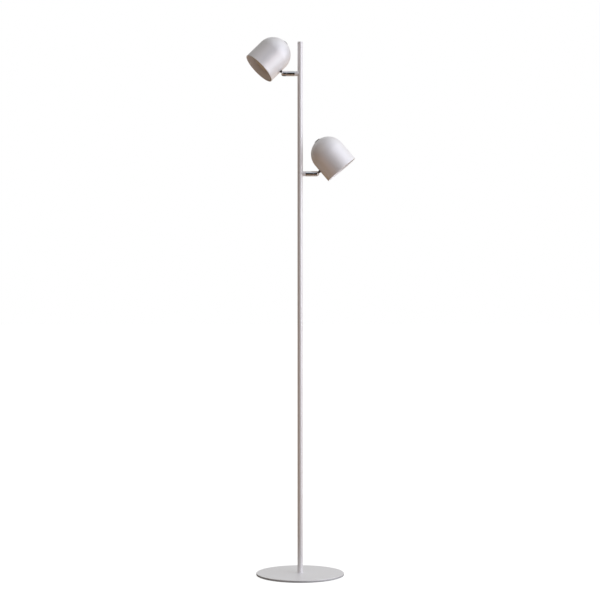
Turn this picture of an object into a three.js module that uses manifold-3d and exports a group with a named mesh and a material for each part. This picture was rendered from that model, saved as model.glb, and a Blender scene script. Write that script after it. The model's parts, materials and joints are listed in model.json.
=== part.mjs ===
// Adjustable arm floor lamp: two domed spot heads on a round pole with a flat disc base.
// Each head swivels about its short arm and tilts on the knuckle at the arm's end,
// and has a push switch in the top of its dome.
// Millimetres, +Z up. The origin is the centre of the base's underside, on the floor.

import * as THREE from 'three';
import { mergeVertices } from 'three/addons/utils/BufferGeometryUtils.js';
import Module from 'manifold-3d';

const wasm = await Module();
wasm.setup();

// ---------------------------------------------------------------- driving dimensions

const HEIGHT = 1400; // floor to the top of the pole cap
const SEAT_GAP = 0.3; // between pieces that rest on each other
const SLIDE_FIT = 0.15; // radial clearance of a sleeve in its tube
const BOLT_FIT = 0.3; // radial clearance of a stud in its hole

// base
const PAD_THICKNESS = 1;
const PAD_INSET = 3; // pad edge inside the plate edge
const BASE_RADIUS = 115;
const BASE_THICKNESS = 5;
const BASE_TOP_EDGE = 1.2; // rounding of the upper edge
const BASE_LOW_EDGE = 0.5; // chamfer of the lower edge
const FOOT_SCREW_RADIUS = 3.9;
const FOOT_SCREW_HEAD_RADIUS = 8.5;
const FOOT_SCREW_HEAD_HEIGHT = 2.2;
const FOOT_SCREW_REACH = 11; // into the insert

// pole
const POLE_RADIUS = 7;
const POLE_WALL = 1.2;
const UPPER_TUBE_LENGTH = 464;
const COUPLER_LENGTH = 60;
const COUPLER_WALL = 1.4;
const INSERT_LENGTH = 12;
const CAP_HEIGHT = 2;
const CAP_EDGE = 0.6;
const CAP_SPIGOT_LENGTH = 10;

// cable gland at the back of the pole's foot
const GLAND_HEIGHT = 18; // above the base plate
const GLAND_RADIUS = 3;
const GLAND_FLANGE_RADIUS = 4.2;
const GLAND_FLANGE_OUT = 2; // past the pole's surface
const GLAND_BORE = 2;

// arms: distances are from the pole's axis, along the arm
const UPPER_ARM_DROP = 83.5; // pole top to arm axis
const LOWER_ARM_DROP = 346.6;
const BOSS_RADIUS = 6.5;
const BOSS_END = 13.5;
const NIPPLE_RADIUS = 3.5;
const NIPPLE_BORE = 2.2;
const NIPPLE_START = 2.6;
const SADDLE_NUT_RADIUS = 5;
const BARREL_RADIUS = 7;
const BARREL_WALL = 1;
const BARREL_END_WALL = 2.5;
const BARREL_CHAMFER = 0.5;
const SWIVEL_WASHER_THICKNESS = 0.8;
const SWIVEL_NUT_THICKNESS = 3.5;
const SWIVEL_NUT_FLATS = 10;
const NIPPLE_PAST_NUT = 1;

// knuckle at the end of the arm
const PIVOT_OUT = 44; // pole axis to the tilt pin
const KNUCKLE_BODY = 8; // shoulder to pin
const KNUCKLE_SPIGOT = 7; // into the barrel
const KNUCKLE_BORE = 2.6;
const SLOT_DEPTH = 6.5; // pin to slot root
const TONGUE_THICKNESS = 4;
const TONGUE_RADIUS = 5;
const TONGUE_BAR = 5.2; // width between tongue disc and collar
const TILT_WASHER_THICKNESS = 0.4;
const TILT_WASHER_RADIUS = 4.6;
const PIN_RADIUS = 2;
const PIN_INSET = 0.4; // pin end below the barrel's surface

// neck between knuckle and shade: distances are from the pin, along the neck
const COLLAR_RADIUS = 3.7;
const COLLAR_CLEAR = 0.4; // collar to the knuckle's round end
const SHADE_OFF_PIN = 10.5; // pin to the shade's outer wall
const STUD_RADIUS = 3;
const STUD_BORE = 1.5;
const NECK_NUT_FLATS = 9;
const NECK_NUT_THICKNESS = 3.5;
const STUD_PAST_NUT = 1.4;

// shade: heights are from the neck's axis, along the shade's axis towards the dome
const SHADE_RADIUS = 46;
const SHADE_WALL = 1;
const MOUTH_BELOW_NECK = 34;
const CYLINDER_ABOVE_NECK = 20; // where the dome starts
const APEX_FLAT_RADIUS = 8.5;
const RIM_EDGE = 0.3;

// light unit
const RECESS_DEPTH = 17; // mouth to retaining ring
const RETAINING_RING_HEIGHT = 1.6;
const RETAINING_RING_WIDTH = 2.6;
const DIFFUSER_THICKNESS = 2;
const REFLECTOR_WALL = 1.2;
const REFLECTOR_THROAT = 12;
const REFLECTOR_RISE = 13.4; // flange to throat
const REFLECTOR_FLANGE = 3.5;
const BOARD_RADIUS = 28;
const BOARD_THICKNESS = 1.5;
const EMITTER_RADIUS = 10;
const EMITTER_HEIGHT = 0.8;
const SINK_RADIUS = 30;
const SINK_CORE_RADIUS = 19;
const SINK_HEIGHT = 18;
const SINK_FINS = 20;
const LED_LEAD_OFFSET = 14;
const BRACKET_WIDTH = 13.8;
const BRACKET_SHEET = 1.2;
const BRACKET_TOP_HALF = 8.5;
const BRACKET_LEG_OUT = 21.8;
const BRACKET_FOOT_OUT = 30;
const BRACKET_SHOULDER_DROP = 13; // top plate to where the legs start

// push switch
const BUSHING_RADIUS = 6.1;
const BUSHING_BORE = 4.9;
const SWITCH_SHOULDER_RADIUS = 8.2;
const SWITCH_SHOULDER_HEIGHT = 3.7;
const SWITCH_BODY_RADIUS = 7.5;
const SWITCH_BODY_HEIGHT = 16;
const BEZEL_RADIUS = 8;
const BEZEL_HEIGHT = 1.3;
const BEZEL_CHAMFER = 0.25;
const BUTTON_PROUD = 0.5; // past the bezel
const BUTTON_LENGTH = 6.8;
const BUTTON_TRAVEL = 1.2;
const BUTTON_EDGE = 0.5;

// leads
const LEAD_RADIUS = 1.1;
const LEAD_BEND = 5;

// rest pose, in degrees: tilt is the neck's rise above the arm, swivel turns about the arm
const ARMS = [
  { side: 'upper', drop: UPPER_ARM_DROP, heading: 180, swivel: 14.4, tilt: 43.5 },
  { side: 'lower', drop: LOWER_ARM_DROP, heading: 0, swivel: 0, tilt: 40.3 },
];

// facets round a full turn
const BASE_FACETS = 60;
const SHADE_FACETS = 36;
const POLE_FACETS = 24;
const FINE_FACETS = 20;
const SMALL_FACETS = 12;
const LEAD_FACETS = 8;
const DOME_STEPS = 6;
const EDGE_STEPS = 2;

// ---------------------------------------------------------------- derived sizes

const BASE_TOP = PAD_THICKNESS + BASE_THICKNESS;
const POLE_BORE = POLE_RADIUS - POLE_WALL;
const POLE_TOP = HEIGHT - CAP_HEIGHT;
const UPPER_JOINT = POLE_TOP - UPPER_TUBE_LENGTH;
const LOWER_JOINT = (BASE_TOP + UPPER_JOINT) / 2;
const SLEEVE_RADIUS = POLE_BORE - SLIDE_FIT;
const GLAND_Z = BASE_TOP + GLAND_HEIGHT;

const BARREL_START = BOSS_END + SEAT_GAP;
const BARREL_BORE = BARREL_RADIUS - BARREL_WALL;
const KNUCKLE_START = PIVOT_OUT - KNUCKLE_BODY;
const SWIVEL_WASHER_START = BARREL_START + BARREL_END_WALL + SEAT_GAP;
const SWIVEL_NUT_START = SWIVEL_WASHER_START + SWIVEL_WASHER_THICKNESS + SEAT_GAP;
const NIPPLE_END = SWIVEL_NUT_START + SWIVEL_NUT_THICKNESS + NIPPLE_PAST_NUT;
const NIPPLE_HOLE = NIPPLE_RADIUS + BOLT_FIT;
const PIN_HOLE = PIN_RADIUS + BOLT_FIT;
const PIN_LENGTH = 2 * (BARREL_RADIUS - PIN_INSET);
const SLOT_WIDTH = TONGUE_THICKNESS + TILT_WASHER_THICKNESS + 3 * SEAT_GAP;
const TONGUE_SIDE = -SLOT_WIDTH / 2 + SEAT_GAP + TONGUE_THICKNESS / 2;
const TILT_WASHER_SIDE = TONGUE_SIDE + TONGUE_THICKNESS / 2 + SEAT_GAP;

const SHADE_BORE = SHADE_RADIUS - SHADE_WALL;
const SHADE_AXIS_OUT = SHADE_OFF_PIN + SHADE_RADIUS;
const COLLAR_START = BARREL_RADIUS + COLLAR_CLEAR;
const COLLAR_END = SHADE_OFF_PIN - SEAT_GAP;
const STUD_HOLE = STUD_RADIUS + BOLT_FIT;
const NECK_NUT_CORNER = NECK_NUT_FLATS / Math.sqrt(3);
const NECK_NUT_START =
  SHADE_AXIS_OUT - Math.sqrt(SHADE_BORE ** 2 - NECK_NUT_CORNER ** 2) + SEAT_GAP;
const STUD_END = NECK_NUT_START + NECK_NUT_THICKNESS + STUD_PAST_NUT;

const RING_LOW = -MOUTH_BELOW_NECK + RECESS_DEPTH;
const DIFFUSER_LOW = RING_LOW + RETAINING_RING_HEIGHT + SEAT_GAP;
const FLANGE_LOW = DIFFUSER_LOW + DIFFUSER_THICKNESS + SEAT_GAP;
const THROAT_TOP = FLANGE_LOW + REFLECTOR_WALL + REFLECTOR_RISE;
const BOARD_LOW = THROAT_TOP + SEAT_GAP;
const SINK_LOW = BOARD_LOW + BOARD_THICKNESS + SEAT_GAP;
const BRACKET_FOOT = SINK_LOW + SINK_HEIGHT + SEAT_GAP;
const FIT_IN_SHADE = SHADE_BORE - 0.5;

const APEX_OUTSIDE = CYLINDER_ABOVE_NECK + Math.sqrt(SHADE_RADIUS ** 2 - APEX_FLAT_RADIUS ** 2);
const BUSHING_HOLE = BUSHING_RADIUS + BOLT_FIT;
const BRACKET_CORNER = Math.hypot(BRACKET_TOP_HALF, BRACKET_WIDTH / 2);
const BRACKET_TOP =
  CYLINDER_ABOVE_NECK + Math.sqrt(SHADE_BORE ** 2 - BRACKET_CORNER ** 2) - SEAT_GAP;
const SHOULDER_TOP = BRACKET_TOP - BRACKET_SHEET - SEAT_GAP;
const SWITCH_LOW = SHOULDER_TOP - SWITCH_SHOULDER_HEIGHT - SWITCH_BODY_HEIGHT;
const BEZEL_LOW = APEX_OUTSIDE + SEAT_GAP;
const BEZEL_TOP = BEZEL_LOW + BEZEL_HEIGHT;
const BUTTON_TOP = BEZEL_TOP + BUTTON_PROUD;
const BUTTON_WELL = BUTTON_TOP - BUTTON_LENGTH - BUTTON_TRAVEL - 2 * SEAT_GAP;

// ---------------------------------------------------------------- materials

function finish(color, roughness, metalness, extra = {}) {
  return new THREE.MeshStandardMaterial({ color, roughness, metalness, ...extra });
}

const WHITE_PAINT = finish(0xeae8ec, 0.55, 0);
const CHROME = finish(0xd6d6d8, 0.08, 1);
const STEEL = finish(0x9a9c9e, 0.35, 1);
const ALUMINIUM = finish(0xb4b6b8, 0.45, 1);
const BLACK_PLASTIC = finish(0x1b1b1d, 0.4, 0);
const WHITE_PLASTIC = finish(0xe6e4e0, 0.5, 0);
const OPAL = finish(0xf2f0ea, 0.6, 0);
const FOAM = finish(0x2a2a2c, 0.95, 0);
const LEAD_SHEATH = finish(0xdcdcda, 0.6, 0);

// ---------------------------------------------------------------- shape helpers

const radians = THREE.MathUtils.degToRad;

// A solid of revolution about Z. The profile is a list of [radius, height] that runs
// anticlockwise: outer wall upwards, inner wall downwards.
function turned(profile, facets) {
  const points = profile.map(([radius, height]) => new THREE.Vector2(radius, height));
  return new THREE.LatheGeometry(points, facets).rotateX(Math.PI / 2);
}

function disc(radius, low, high, facets) {
  return turned([[0, low], [radius, low], [radius, high], [0, high]], facets);
}

function ring(bore, radius, low, high, facets) {
  return turned([[bore, low], [radius, low], [radius, high], [bore, high], [bore, low]], facets);
}

// Points of an arc in the profile plane, from one angle to another, in degrees.
function arc(centreRadius, centreHeight, radius, from, to, steps) {
  return Array.from({ length: steps + 1 }, (_, step) => {
    const angle = radians(from + ((to - from) * step) / steps);
    return [centreRadius + radius * Math.cos(angle), centreHeight + radius * Math.sin(angle)];
  });
}

function alongX(geometry) {
  return geometry.rotateY(Math.PI / 2);
}

function alongY(geometry) {
  return geometry.rotateX(-Math.PI / 2);
}

function block(from, to) {
  const size = to.map((value, axis) => value - from[axis]);
  const centre = to.map((value, axis) => (value + from[axis]) / 2);
  return new THREE.BoxGeometry(...size).translate(...centre);
}

// A plate of the given outline, from low to high along Z.
function plate(outline, low, high, holes = []) {
  const shape = new THREE.Shape(outline.map(([x, y]) => new THREE.Vector2(x, y)));
  shape.holes.push(...holes);
  const depth = high - low;
  return new THREE.ExtrudeGeometry(shape, { depth, bevelEnabled: false }).translate(0, 0, low);
}

function circle(radius, facets, x = 0, y = 0) {
  return Array.from({ length: facets }, (_, index) => {
    const angle = (2 * Math.PI * index) / facets;
    return [x + radius * Math.cos(angle), y + radius * Math.sin(angle)];
  });
}

function hexNut(flats, bore, low, high) {
  const hole = new THREE.Path(circle(bore, SMALL_FACETS).map(([x, y]) => new THREE.Vector2(x, y)));
  return plate(circle(flats / Math.sqrt(3), 6), low, high, [hole]);
}

// A smooth round lead through the given points, with the same number of steps between
// any two of them, so that long straight runs stay light.
class LeadPath extends THREE.CatmullRomCurve3 {
  getPointAt(u, target) {
    return this.getPoint(u, target);
  }

  getTangentAt(u, target) {
    return this.getTangent(u, target);
  }

  getSpacedPoints(divisions) {
    return this.getPoints(divisions);
  }
}

function lead(points) {
  const path = new LeadPath(points.map((point) => new THREE.Vector3(...point)), false, 'centripetal');
  const section = new THREE.Shape(
    circle(LEAD_RADIUS, LEAD_FACETS).map(([x, y]) => new THREE.Vector2(x, y)),
  );
  const steps = 2 * (points.length - 1);
  return new THREE.ExtrudeGeometry(section, { steps, extrudePath: path, bevelEnabled: false });
}

// ---------------------------------------------------------------- joining and cutting

function solidOf(geometry) {
  const bare = geometry.clone();
  bare.deleteAttribute('normal');
  bare.deleteAttribute('uv');
  const merged = mergeVertices(bare, 1e-5);
  const triangles = [];
  for (let corner = 0; corner < merged.index.count; corner += 3) {
    const [a, b, c] = merged.index.array.slice(corner, corner + 3);
    if (a !== b && b !== c && c !== a) {
      triangles.push(a, b, c);
    }
  }
  return new wasm.Manifold(new wasm.Mesh({
    numProp: 3,
    vertProperties: new Float32Array(merged.attributes.position.array),
    triVerts: new Uint32Array(triangles),
  }));
}

function geometryOf(solid) {
  const mesh = solid.getMesh();
  const geometry = new THREE.BufferGeometry();
  geometry.setAttribute('position', new THREE.BufferAttribute(mesh.vertProperties, 3));
  geometry.setIndex(new THREE.BufferAttribute(mesh.triVerts, 1));
  geometry.computeVertexNormals();
  return geometry;
}

function cut(geometry, ...tools) {
  return geometryOf(tools.reduce((solid, tool) => solid.subtract(solidOf(tool)), solidOf(geometry)));
}

function join(geometry, ...others) {
  return geometryOf(others.reduce((solid, other) => solid.add(solidOf(other)), solidOf(geometry)));
}

function common(geometry, other) {
  return geometryOf(solidOf(geometry).intersect(solidOf(other)));
}

function add(parent, name, geometry, material) {
  const mesh = new THREE.Mesh(geometry, material);
  mesh.name = name;
  parent.add(mesh);
  return mesh;
}

function addGroup(parent, x, y, z) {
  const group = new THREE.Group();
  group.position.set(x, y, z);
  parent.add(group);
  return group;
}

// ---------------------------------------------------------------- base

function basePlate() {
  const bore = FOOT_SCREW_RADIUS + BOLT_FIT;
  const counterbore = FOOT_SCREW_HEAD_RADIUS + BOLT_FIT;
  const counterboreTop = PAD_THICKNESS + FOOT_SCREW_HEAD_HEIGHT + 2 * SEAT_GAP;
  const edge = arc(
    BASE_RADIUS - BASE_TOP_EDGE, BASE_TOP - BASE_TOP_EDGE, BASE_TOP_EDGE, 0, 90, EDGE_STEPS,
  );
  return turned([
    [counterbore, PAD_THICKNESS],
    [BASE_RADIUS - BASE_LOW_EDGE, PAD_THICKNESS],
    [BASE_RADIUS, PAD_THICKNESS + BASE_LOW_EDGE],
    ...edge,
    [bore, BASE_TOP],
    [bore, counterboreTop],
    [counterbore, counterboreTop],
    [counterbore, PAD_THICKNESS],
  ], BASE_FACETS);
}

function footScrew() {
  const headLow = PAD_THICKNESS + SEAT_GAP;
  const headHigh = headLow + FOOT_SCREW_HEAD_HEIGHT;
  return turned([
    [0, headLow],
    [FOOT_SCREW_HEAD_RADIUS, headLow],
    [FOOT_SCREW_HEAD_RADIUS, headHigh],
    [FOOT_SCREW_RADIUS, headHigh],
    [FOOT_SCREW_RADIUS, BASE_TOP + FOOT_SCREW_REACH],
    [0, BASE_TOP + FOOT_SCREW_REACH],
  ], FINE_FACETS);
}

// ---------------------------------------------------------------- pole

function armHeight(arm) {
  return HEIGHT - arm.drop;
}

function upperTube() {
  const tube = ring(POLE_BORE, POLE_RADIUS, UPPER_JOINT, POLE_TOP, POLE_FACETS);
  const holes = ARMS.map((arm) => {
    const hole = alongX(disc(NIPPLE_HOLE, 0, 2 * POLE_RADIUS, SMALL_FACETS));
    return hole.rotateZ(radians(arm.heading)).translate(0, 0, armHeight(arm));
  });
  return cut(tube, ...holes);
}

function lowerTube() {
  const tube = ring(POLE_BORE, POLE_RADIUS, BASE_TOP, LOWER_JOINT, POLE_FACETS);
  const hole = alongY(disc(GLAND_RADIUS + SLIDE_FIT, 0, 2 * POLE_RADIUS, SMALL_FACETS));
  return cut(tube, hole.translate(0, 0, GLAND_Z));
}

function coupler(joint) {
  const half = COUPLER_LENGTH / 2;
  return ring(SLEEVE_RADIUS - COUPLER_WALL, SLEEVE_RADIUS, joint - half, joint + half, POLE_FACETS);
}

function poleCap() {
  return turned([
    [0, POLE_TOP - CAP_SPIGOT_LENGTH],
    [SLEEVE_RADIUS, POLE_TOP - CAP_SPIGOT_LENGTH],
    [SLEEVE_RADIUS, POLE_TOP],
    [POLE_RADIUS, POLE_TOP],
    ...arc(POLE_RADIUS - CAP_EDGE, HEIGHT - CAP_EDGE, CAP_EDGE, 0, 90, EDGE_STEPS),
    [0, HEIGHT],
  ], POLE_FACETS);
}

// A rubber bush in the back of the foot, shaped to the pole outside.
function cableGland() {
  const flangeEnd = POLE_RADIUS + GLAND_FLANGE_OUT;
  const sleeve = disc(GLAND_RADIUS, POLE_BORE - 1, flangeEnd, SMALL_FACETS);
  const flange = disc(GLAND_FLANGE_RADIUS, POLE_BORE, flangeEnd, SMALL_FACETS);
  const pole = disc(POLE_RADIUS + SLIDE_FIT, -BASE_RADIUS, BASE_RADIUS, POLE_FACETS);
  const bore = disc(GLAND_BORE, 0, 2 * POLE_RADIUS, SMALL_FACETS);
  const saddle = cut(alongY(flange), pole);
  return cut(join(saddle, alongY(sleeve)), alongY(bore)).translate(0, 0, GLAND_Z);
}

// The lead of one arm: in from the gland, up the bore and out through the arm's nipple.
// lane is the place of its straight run in the bore, [x, y].
function poleLead(arm, lane, entry) {
  const [laneX, laneY] = lane;
  const out = arm.heading === 0 ? 1 : -1;
  const top = armHeight(arm);
  const bend = LEAD_BEND;
  return lead([
    [entry, POLE_BORE - 2, GLAND_Z],
    [(entry + laneX) / 2, (POLE_BORE - 2 + laneY) / 2, GLAND_Z + 0.2 * bend],
    [laneX, laneY, GLAND_Z + bend],
    [laneX, laneY, GLAND_Z + 3 * bend],
    [laneX, laneY, LOWER_JOINT],
    [laneX, laneY, UPPER_JOINT],
    [laneX, laneY, top - 4 * bend],
    [-out * 2.2, 0, top - 1.4 * bend],
    [-out * 2.0, 0, top - 0.8 * bend],
    [-out * 0.4, 0, top - 0.2 * bend],
    [out * NIPPLE_START, 0, top],
    [out * (NIPPLE_START + bend), 0, top],
    [out * (NIPPLE_END + bend), 0, top],
  ]);
}

// ---------------------------------------------------------------- arm, along local X

function boss() {
  const body = turned([
    [NIPPLE_HOLE, POLE_BORE],
    [BOSS_RADIUS, POLE_BORE],
    [BOSS_RADIUS, BOSS_END - BARREL_CHAMFER],
    [BOSS_RADIUS - BARREL_CHAMFER, BOSS_END],
    [NIPPLE_HOLE, BOSS_END],
    [NIPPLE_HOLE, POLE_BORE],
  ], FINE_FACETS);
  const pole = disc(POLE_RADIUS + SEAT_GAP, -BASE_RADIUS, BASE_RADIUS, POLE_FACETS);
  return cut(alongX(body), pole);
}

function nipple() {
  return alongX(ring(NIPPLE_BORE, NIPPLE_RADIUS, NIPPLE_START, NIPPLE_END, SMALL_FACETS));
}

function saddleNut() {
  const blank = alongX(ring(NIPPLE_HOLE, SADDLE_NUT_RADIUS, NIPPLE_START, POLE_RADIUS, SMALL_FACETS));
  const bore = disc(POLE_BORE - SEAT_GAP, -BASE_RADIUS, BASE_RADIUS, POLE_FACETS);
  return common(blank, bore);
}

function barrel() {
  const start = BARREL_START;
  const end = KNUCKLE_START - SEAT_GAP;
  return alongX(turned([
    [NIPPLE_HOLE, start],
    [BARREL_RADIUS - BARREL_CHAMFER, start],
    [BARREL_RADIUS, start + BARREL_CHAMFER],
    [BARREL_RADIUS, end],
    [BARREL_BORE, end],
    [BARREL_BORE, start + BARREL_END_WALL],
    [NIPPLE_HOLE, start + BARREL_END_WALL],
    [NIPPLE_HOLE, start],
  ], FINE_FACETS));
}

// The forked end of the arm: a round nose centred on the pin, with a slot for the tongue.
function knuckle() {
  const spigotStart = KNUCKLE_START - KNUCKLE_SPIGOT;
  const spigot = BARREL_BORE - BOLT_FIT;
  const boreEnd = PIVOT_OUT - SLOT_DEPTH + 1;
  const body = alongX(turned([
    [0, boreEnd],
    [KNUCKLE_BORE, boreEnd],
    [KNUCKLE_BORE, spigotStart],
    [spigot, spigotStart],
    [spigot, KNUCKLE_START],
    [BARREL_RADIUS, KNUCKLE_START],
    ...arc(0, PIVOT_OUT, BARREL_RADIUS, 0, 90, 2 * EDGE_STEPS),
  ], FINE_FACETS));
  const slot = block(
    [PIVOT_OUT - SLOT_DEPTH, -SLOT_WIDTH / 2, -2 * BARREL_RADIUS],
    [PIVOT_OUT + 2 * BARREL_RADIUS, SLOT_WIDTH / 2, 2 * BARREL_RADIUS],
  );
  const hole = alongY(disc(PIN_HOLE, -2 * BARREL_RADIUS, 2 * BARREL_RADIUS, SMALL_FACETS));
  return cut(body, slot, hole.translate(PIVOT_OUT, 0, 0));
}

function pivotPin() {
  const pin = alongY(disc(PIN_RADIUS, -PIN_LENGTH / 2, PIN_LENGTH / 2, SMALL_FACETS));
  return pin.translate(PIVOT_OUT, 0, 0);
}

function tiltWasher() {
  const high = TILT_WASHER_SIDE + TILT_WASHER_THICKNESS;
  const washer = ring(PIN_HOLE, TILT_WASHER_RADIUS, TILT_WASHER_SIDE, high, SMALL_FACETS);
  return alongY(washer).translate(PIVOT_OUT, 0, 0);
}

// ---------------------------------------------------------------- neck, along local X from the pin

function neck() {
  const low = TONGUE_SIDE - TONGUE_THICKNESS / 2;
  const high = TONGUE_SIDE + TONGUE_THICKNESS / 2;
  const tongue = alongY(disc(TONGUE_RADIUS, low, high, FINE_FACETS));
  const bar = block([0, low, -TONGUE_BAR / 2], [COLLAR_START + 1, high, TONGUE_BAR / 2]);
  const post = alongX(turned([
    [0, COLLAR_START],
    [COLLAR_RADIUS, COLLAR_START],
    [COLLAR_RADIUS, COLLAR_END],
    [STUD_RADIUS, COLLAR_END],
    [STUD_RADIUS, STUD_END],
    [0, STUD_END],
  ], FINE_FACETS));
  const pinHole = alongY(disc(PIN_HOLE, 2 * low, 2 * high, SMALL_FACETS));
  const bore = alongX(disc(STUD_BORE, COLLAR_START, STUD_END + 1, SMALL_FACETS));
  return cut(join(tongue, bar, post), pinHole, bore);
}

function neckNut() {
  const high = NECK_NUT_START + NECK_NUT_THICKNESS;
  return alongX(hexNut(NECK_NUT_FLATS, STUD_HOLE, NECK_NUT_START, high));
}

function headLead() {
  const turnX = STUD_END + LEAD_BEND;
  const switchSide = SHADE_AXIS_OUT - SWITCH_BODY_RADIUS - SEAT_GAP;
  const plugHeight = SWITCH_LOW + SWITCH_BODY_HEIGHT / 3;
  return lead([
    [COLLAR_START + 1, 0, 0],
    [STUD_END, 0, 0],
    [turnX - 0.29 * LEAD_BEND, 0, 0.29 * LEAD_BEND],
    [turnX, 0, LEAD_BEND],
    [turnX, 0, 2 * LEAD_BEND],
    [turnX, 0, BRACKET_FOOT],
    [turnX + 0.4 * LEAD_BEND, 0, plugHeight - 2 * LEAD_BEND],
    [turnX + 2 * LEAD_BEND, 0, plugHeight - 0.6 * LEAD_BEND],
    [switchSide - LEAD_BEND, 0, plugHeight],
    [switchSide, 0, plugHeight],
  ]);
}

// ---------------------------------------------------------------- head, about the shade's axis

function shade() {
  const domeFrom = CYLINDER_ABOVE_NECK;
  const outerEnd = THREE.MathUtils.radToDeg(Math.acos(APEX_FLAT_RADIUS / SHADE_RADIUS));
  const innerEnd = THREE.MathUtils.radToDeg(Math.acos(APEX_FLAT_RADIUS / SHADE_BORE));
  const apexInside = APEX_OUTSIDE - SHADE_WALL;
  const inner = arc(0, domeFrom, SHADE_BORE, innerEnd, 0, DOME_STEPS);
  const body = turned([
    [SHADE_BORE, -MOUTH_BELOW_NECK],
    [SHADE_RADIUS - RIM_EDGE, -MOUTH_BELOW_NECK],
    [SHADE_RADIUS, -MOUTH_BELOW_NECK + RIM_EDGE],
    ...arc(0, domeFrom, SHADE_RADIUS, 0, outerEnd, DOME_STEPS),
    [BUSHING_HOLE, APEX_OUTSIDE],
    [BUSHING_HOLE, apexInside],
    ...inner,
    [SHADE_BORE, -MOUTH_BELOW_NECK],
  ], SHADE_FACETS);
  const studHole = alongX(disc(STUD_HOLE, -2 * SHADE_RADIUS, 0, SMALL_FACETS));
  return cut(body, studHole);
}

function retainingRing() {
  const bore = FIT_IN_SHADE - RETAINING_RING_WIDTH;
  return ring(bore, FIT_IN_SHADE, RING_LOW, RING_LOW + RETAINING_RING_HEIGHT, SHADE_FACETS);
}

function diffuser() {
  return disc(FIT_IN_SHADE, DIFFUSER_LOW, DIFFUSER_LOW + DIFFUSER_THICKNESS, SHADE_FACETS);
}

function reflector() {
  const flangeTop = FLANGE_LOW + REFLECTOR_WALL;
  const mouth = FIT_IN_SHADE - REFLECTOR_FLANGE;
  return turned([
    [mouth, FLANGE_LOW],
    [FIT_IN_SHADE, FLANGE_LOW],
    [FIT_IN_SHADE, flangeTop],
    [mouth, flangeTop],
    [REFLECTOR_THROAT, THROAT_TOP],
    [REFLECTOR_THROAT, THROAT_TOP - REFLECTOR_WALL],
    [mouth, FLANGE_LOW],
  ], SHADE_FACETS);
}

function ledBoard() {
  return turned([
    [0, BOARD_LOW - EMITTER_HEIGHT],
    [EMITTER_RADIUS, BOARD_LOW - EMITTER_HEIGHT],
    [EMITTER_RADIUS, BOARD_LOW],
    [BOARD_RADIUS, BOARD_LOW],
    [BOARD_RADIUS, BOARD_LOW + BOARD_THICKNESS],
    [0, BOARD_LOW + BOARD_THICKNESS],
  ], FINE_FACETS);
}

// A star of radial fins round a solid core, with a hole for the board's lead.
function heatSink() {
  const pitch = (2 * Math.PI) / SINK_FINS;
  const outline = [];
  for (let fin = 0; fin < SINK_FINS; fin += 1) {
    for (const [radius, share] of [
      [SINK_CORE_RADIUS, -0.3], [SINK_RADIUS, -0.18], [SINK_RADIUS, 0.18], [SINK_CORE_RADIUS, 0.3],
    ]) {
      const angle = pitch * (fin + share);
      outline.push([radius * Math.cos(angle), radius * Math.sin(angle)]);
    }
  }
  const hole = new THREE.Path(
    circle(LEAD_RADIUS + BOLT_FIT, LEAD_FACETS, 0, LED_LEAD_OFFSET)
      .map(([x, y]) => new THREE.Vector2(x, y)),
  );
  return plate(outline, SINK_LOW, SINK_LOW + SINK_HEIGHT, [hole]);
}

// A bent strap that hangs the light unit from the switch's bushing.
function bracket() {
  const half = [
    [BRACKET_FOOT_OUT, BRACKET_FOOT, BRACKET_FOOT + BRACKET_SHEET],
    [BRACKET_LEG_OUT, BRACKET_FOOT, BRACKET_FOOT + BRACKET_SHEET],
  ];
  const shoulder = BRACKET_TOP - BRACKET_SHOULDER_DROP;
  const outer = [
    [half[0][0], half[0][2]], [half[1][0], half[1][2]],
    [BRACKET_LEG_OUT, shoulder], [BRACKET_TOP_HALF, BRACKET_TOP],
  ];
  const inner = [
    [BRACKET_TOP_HALF - BRACKET_SHEET / 2, BRACKET_TOP - BRACKET_SHEET],
    [BRACKET_LEG_OUT - BRACKET_SHEET, shoulder - BRACKET_SHEET / 2],
    [BRACKET_LEG_OUT - BRACKET_SHEET, half[1][1]], [half[0][0], half[0][1]],
  ];
  const mirrored = (points) => points.map(([x, z]) => [-x, z]).reverse();
  const outline = [...outer, ...mirrored(outer), ...mirrored(inner), ...inner];
  const strap = plate(outline, -BRACKET_WIDTH / 2, BRACKET_WIDTH / 2);
  const hole = disc(BUSHING_HOLE, SHOULDER_TOP, BRACKET_TOP + 1, FINE_FACETS);
  return cut(strap.rotateX(Math.PI / 2).rotateZ(Math.PI / 2), hole);
}

function switchBody() {
  const shoulderLow = SHOULDER_TOP - SWITCH_SHOULDER_HEIGHT;
  return turned([
    [0, SWITCH_LOW],
    [SWITCH_BODY_RADIUS, SWITCH_LOW],
    [SWITCH_BODY_RADIUS, shoulderLow],
    [SWITCH_SHOULDER_RADIUS, shoulderLow],
    [SWITCH_SHOULDER_RADIUS, SHOULDER_TOP],
    [BUSHING_RADIUS, SHOULDER_TOP],
    [BUSHING_RADIUS, BEZEL_TOP - BEZEL_CHAMFER],
    [BUSHING_BORE, BEZEL_TOP - BEZEL_CHAMFER],
    [BUSHING_BORE, BUTTON_WELL],
    [0, BUTTON_WELL],
  ], FINE_FACETS);
}

function switchBezel() {
  return turned([
    [BUSHING_HOLE, BEZEL_LOW],
    [BEZEL_RADIUS, BEZEL_LOW],
    [BEZEL_RADIUS, BEZEL_TOP - BEZEL_CHAMFER],
    [BEZEL_RADIUS - BEZEL_CHAMFER, BEZEL_TOP],
    [BUSHING_HOLE, BEZEL_TOP],
    [BUSHING_HOLE, BEZEL_LOW],
  ], FINE_FACETS);
}

function button() {
  const radius = BUSHING_BORE - BOLT_FIT;
  return turned([
    [0, BUTTON_TOP - BUTTON_LENGTH],
    [radius, BUTTON_TOP - BUTTON_LENGTH],
    ...arc(radius - BUTTON_EDGE, BUTTON_TOP - BUTTON_EDGE, BUTTON_EDGE, 0, 90, EDGE_STEPS),
    [0, BUTTON_TOP],
  ], FINE_FACETS);
}

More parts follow.
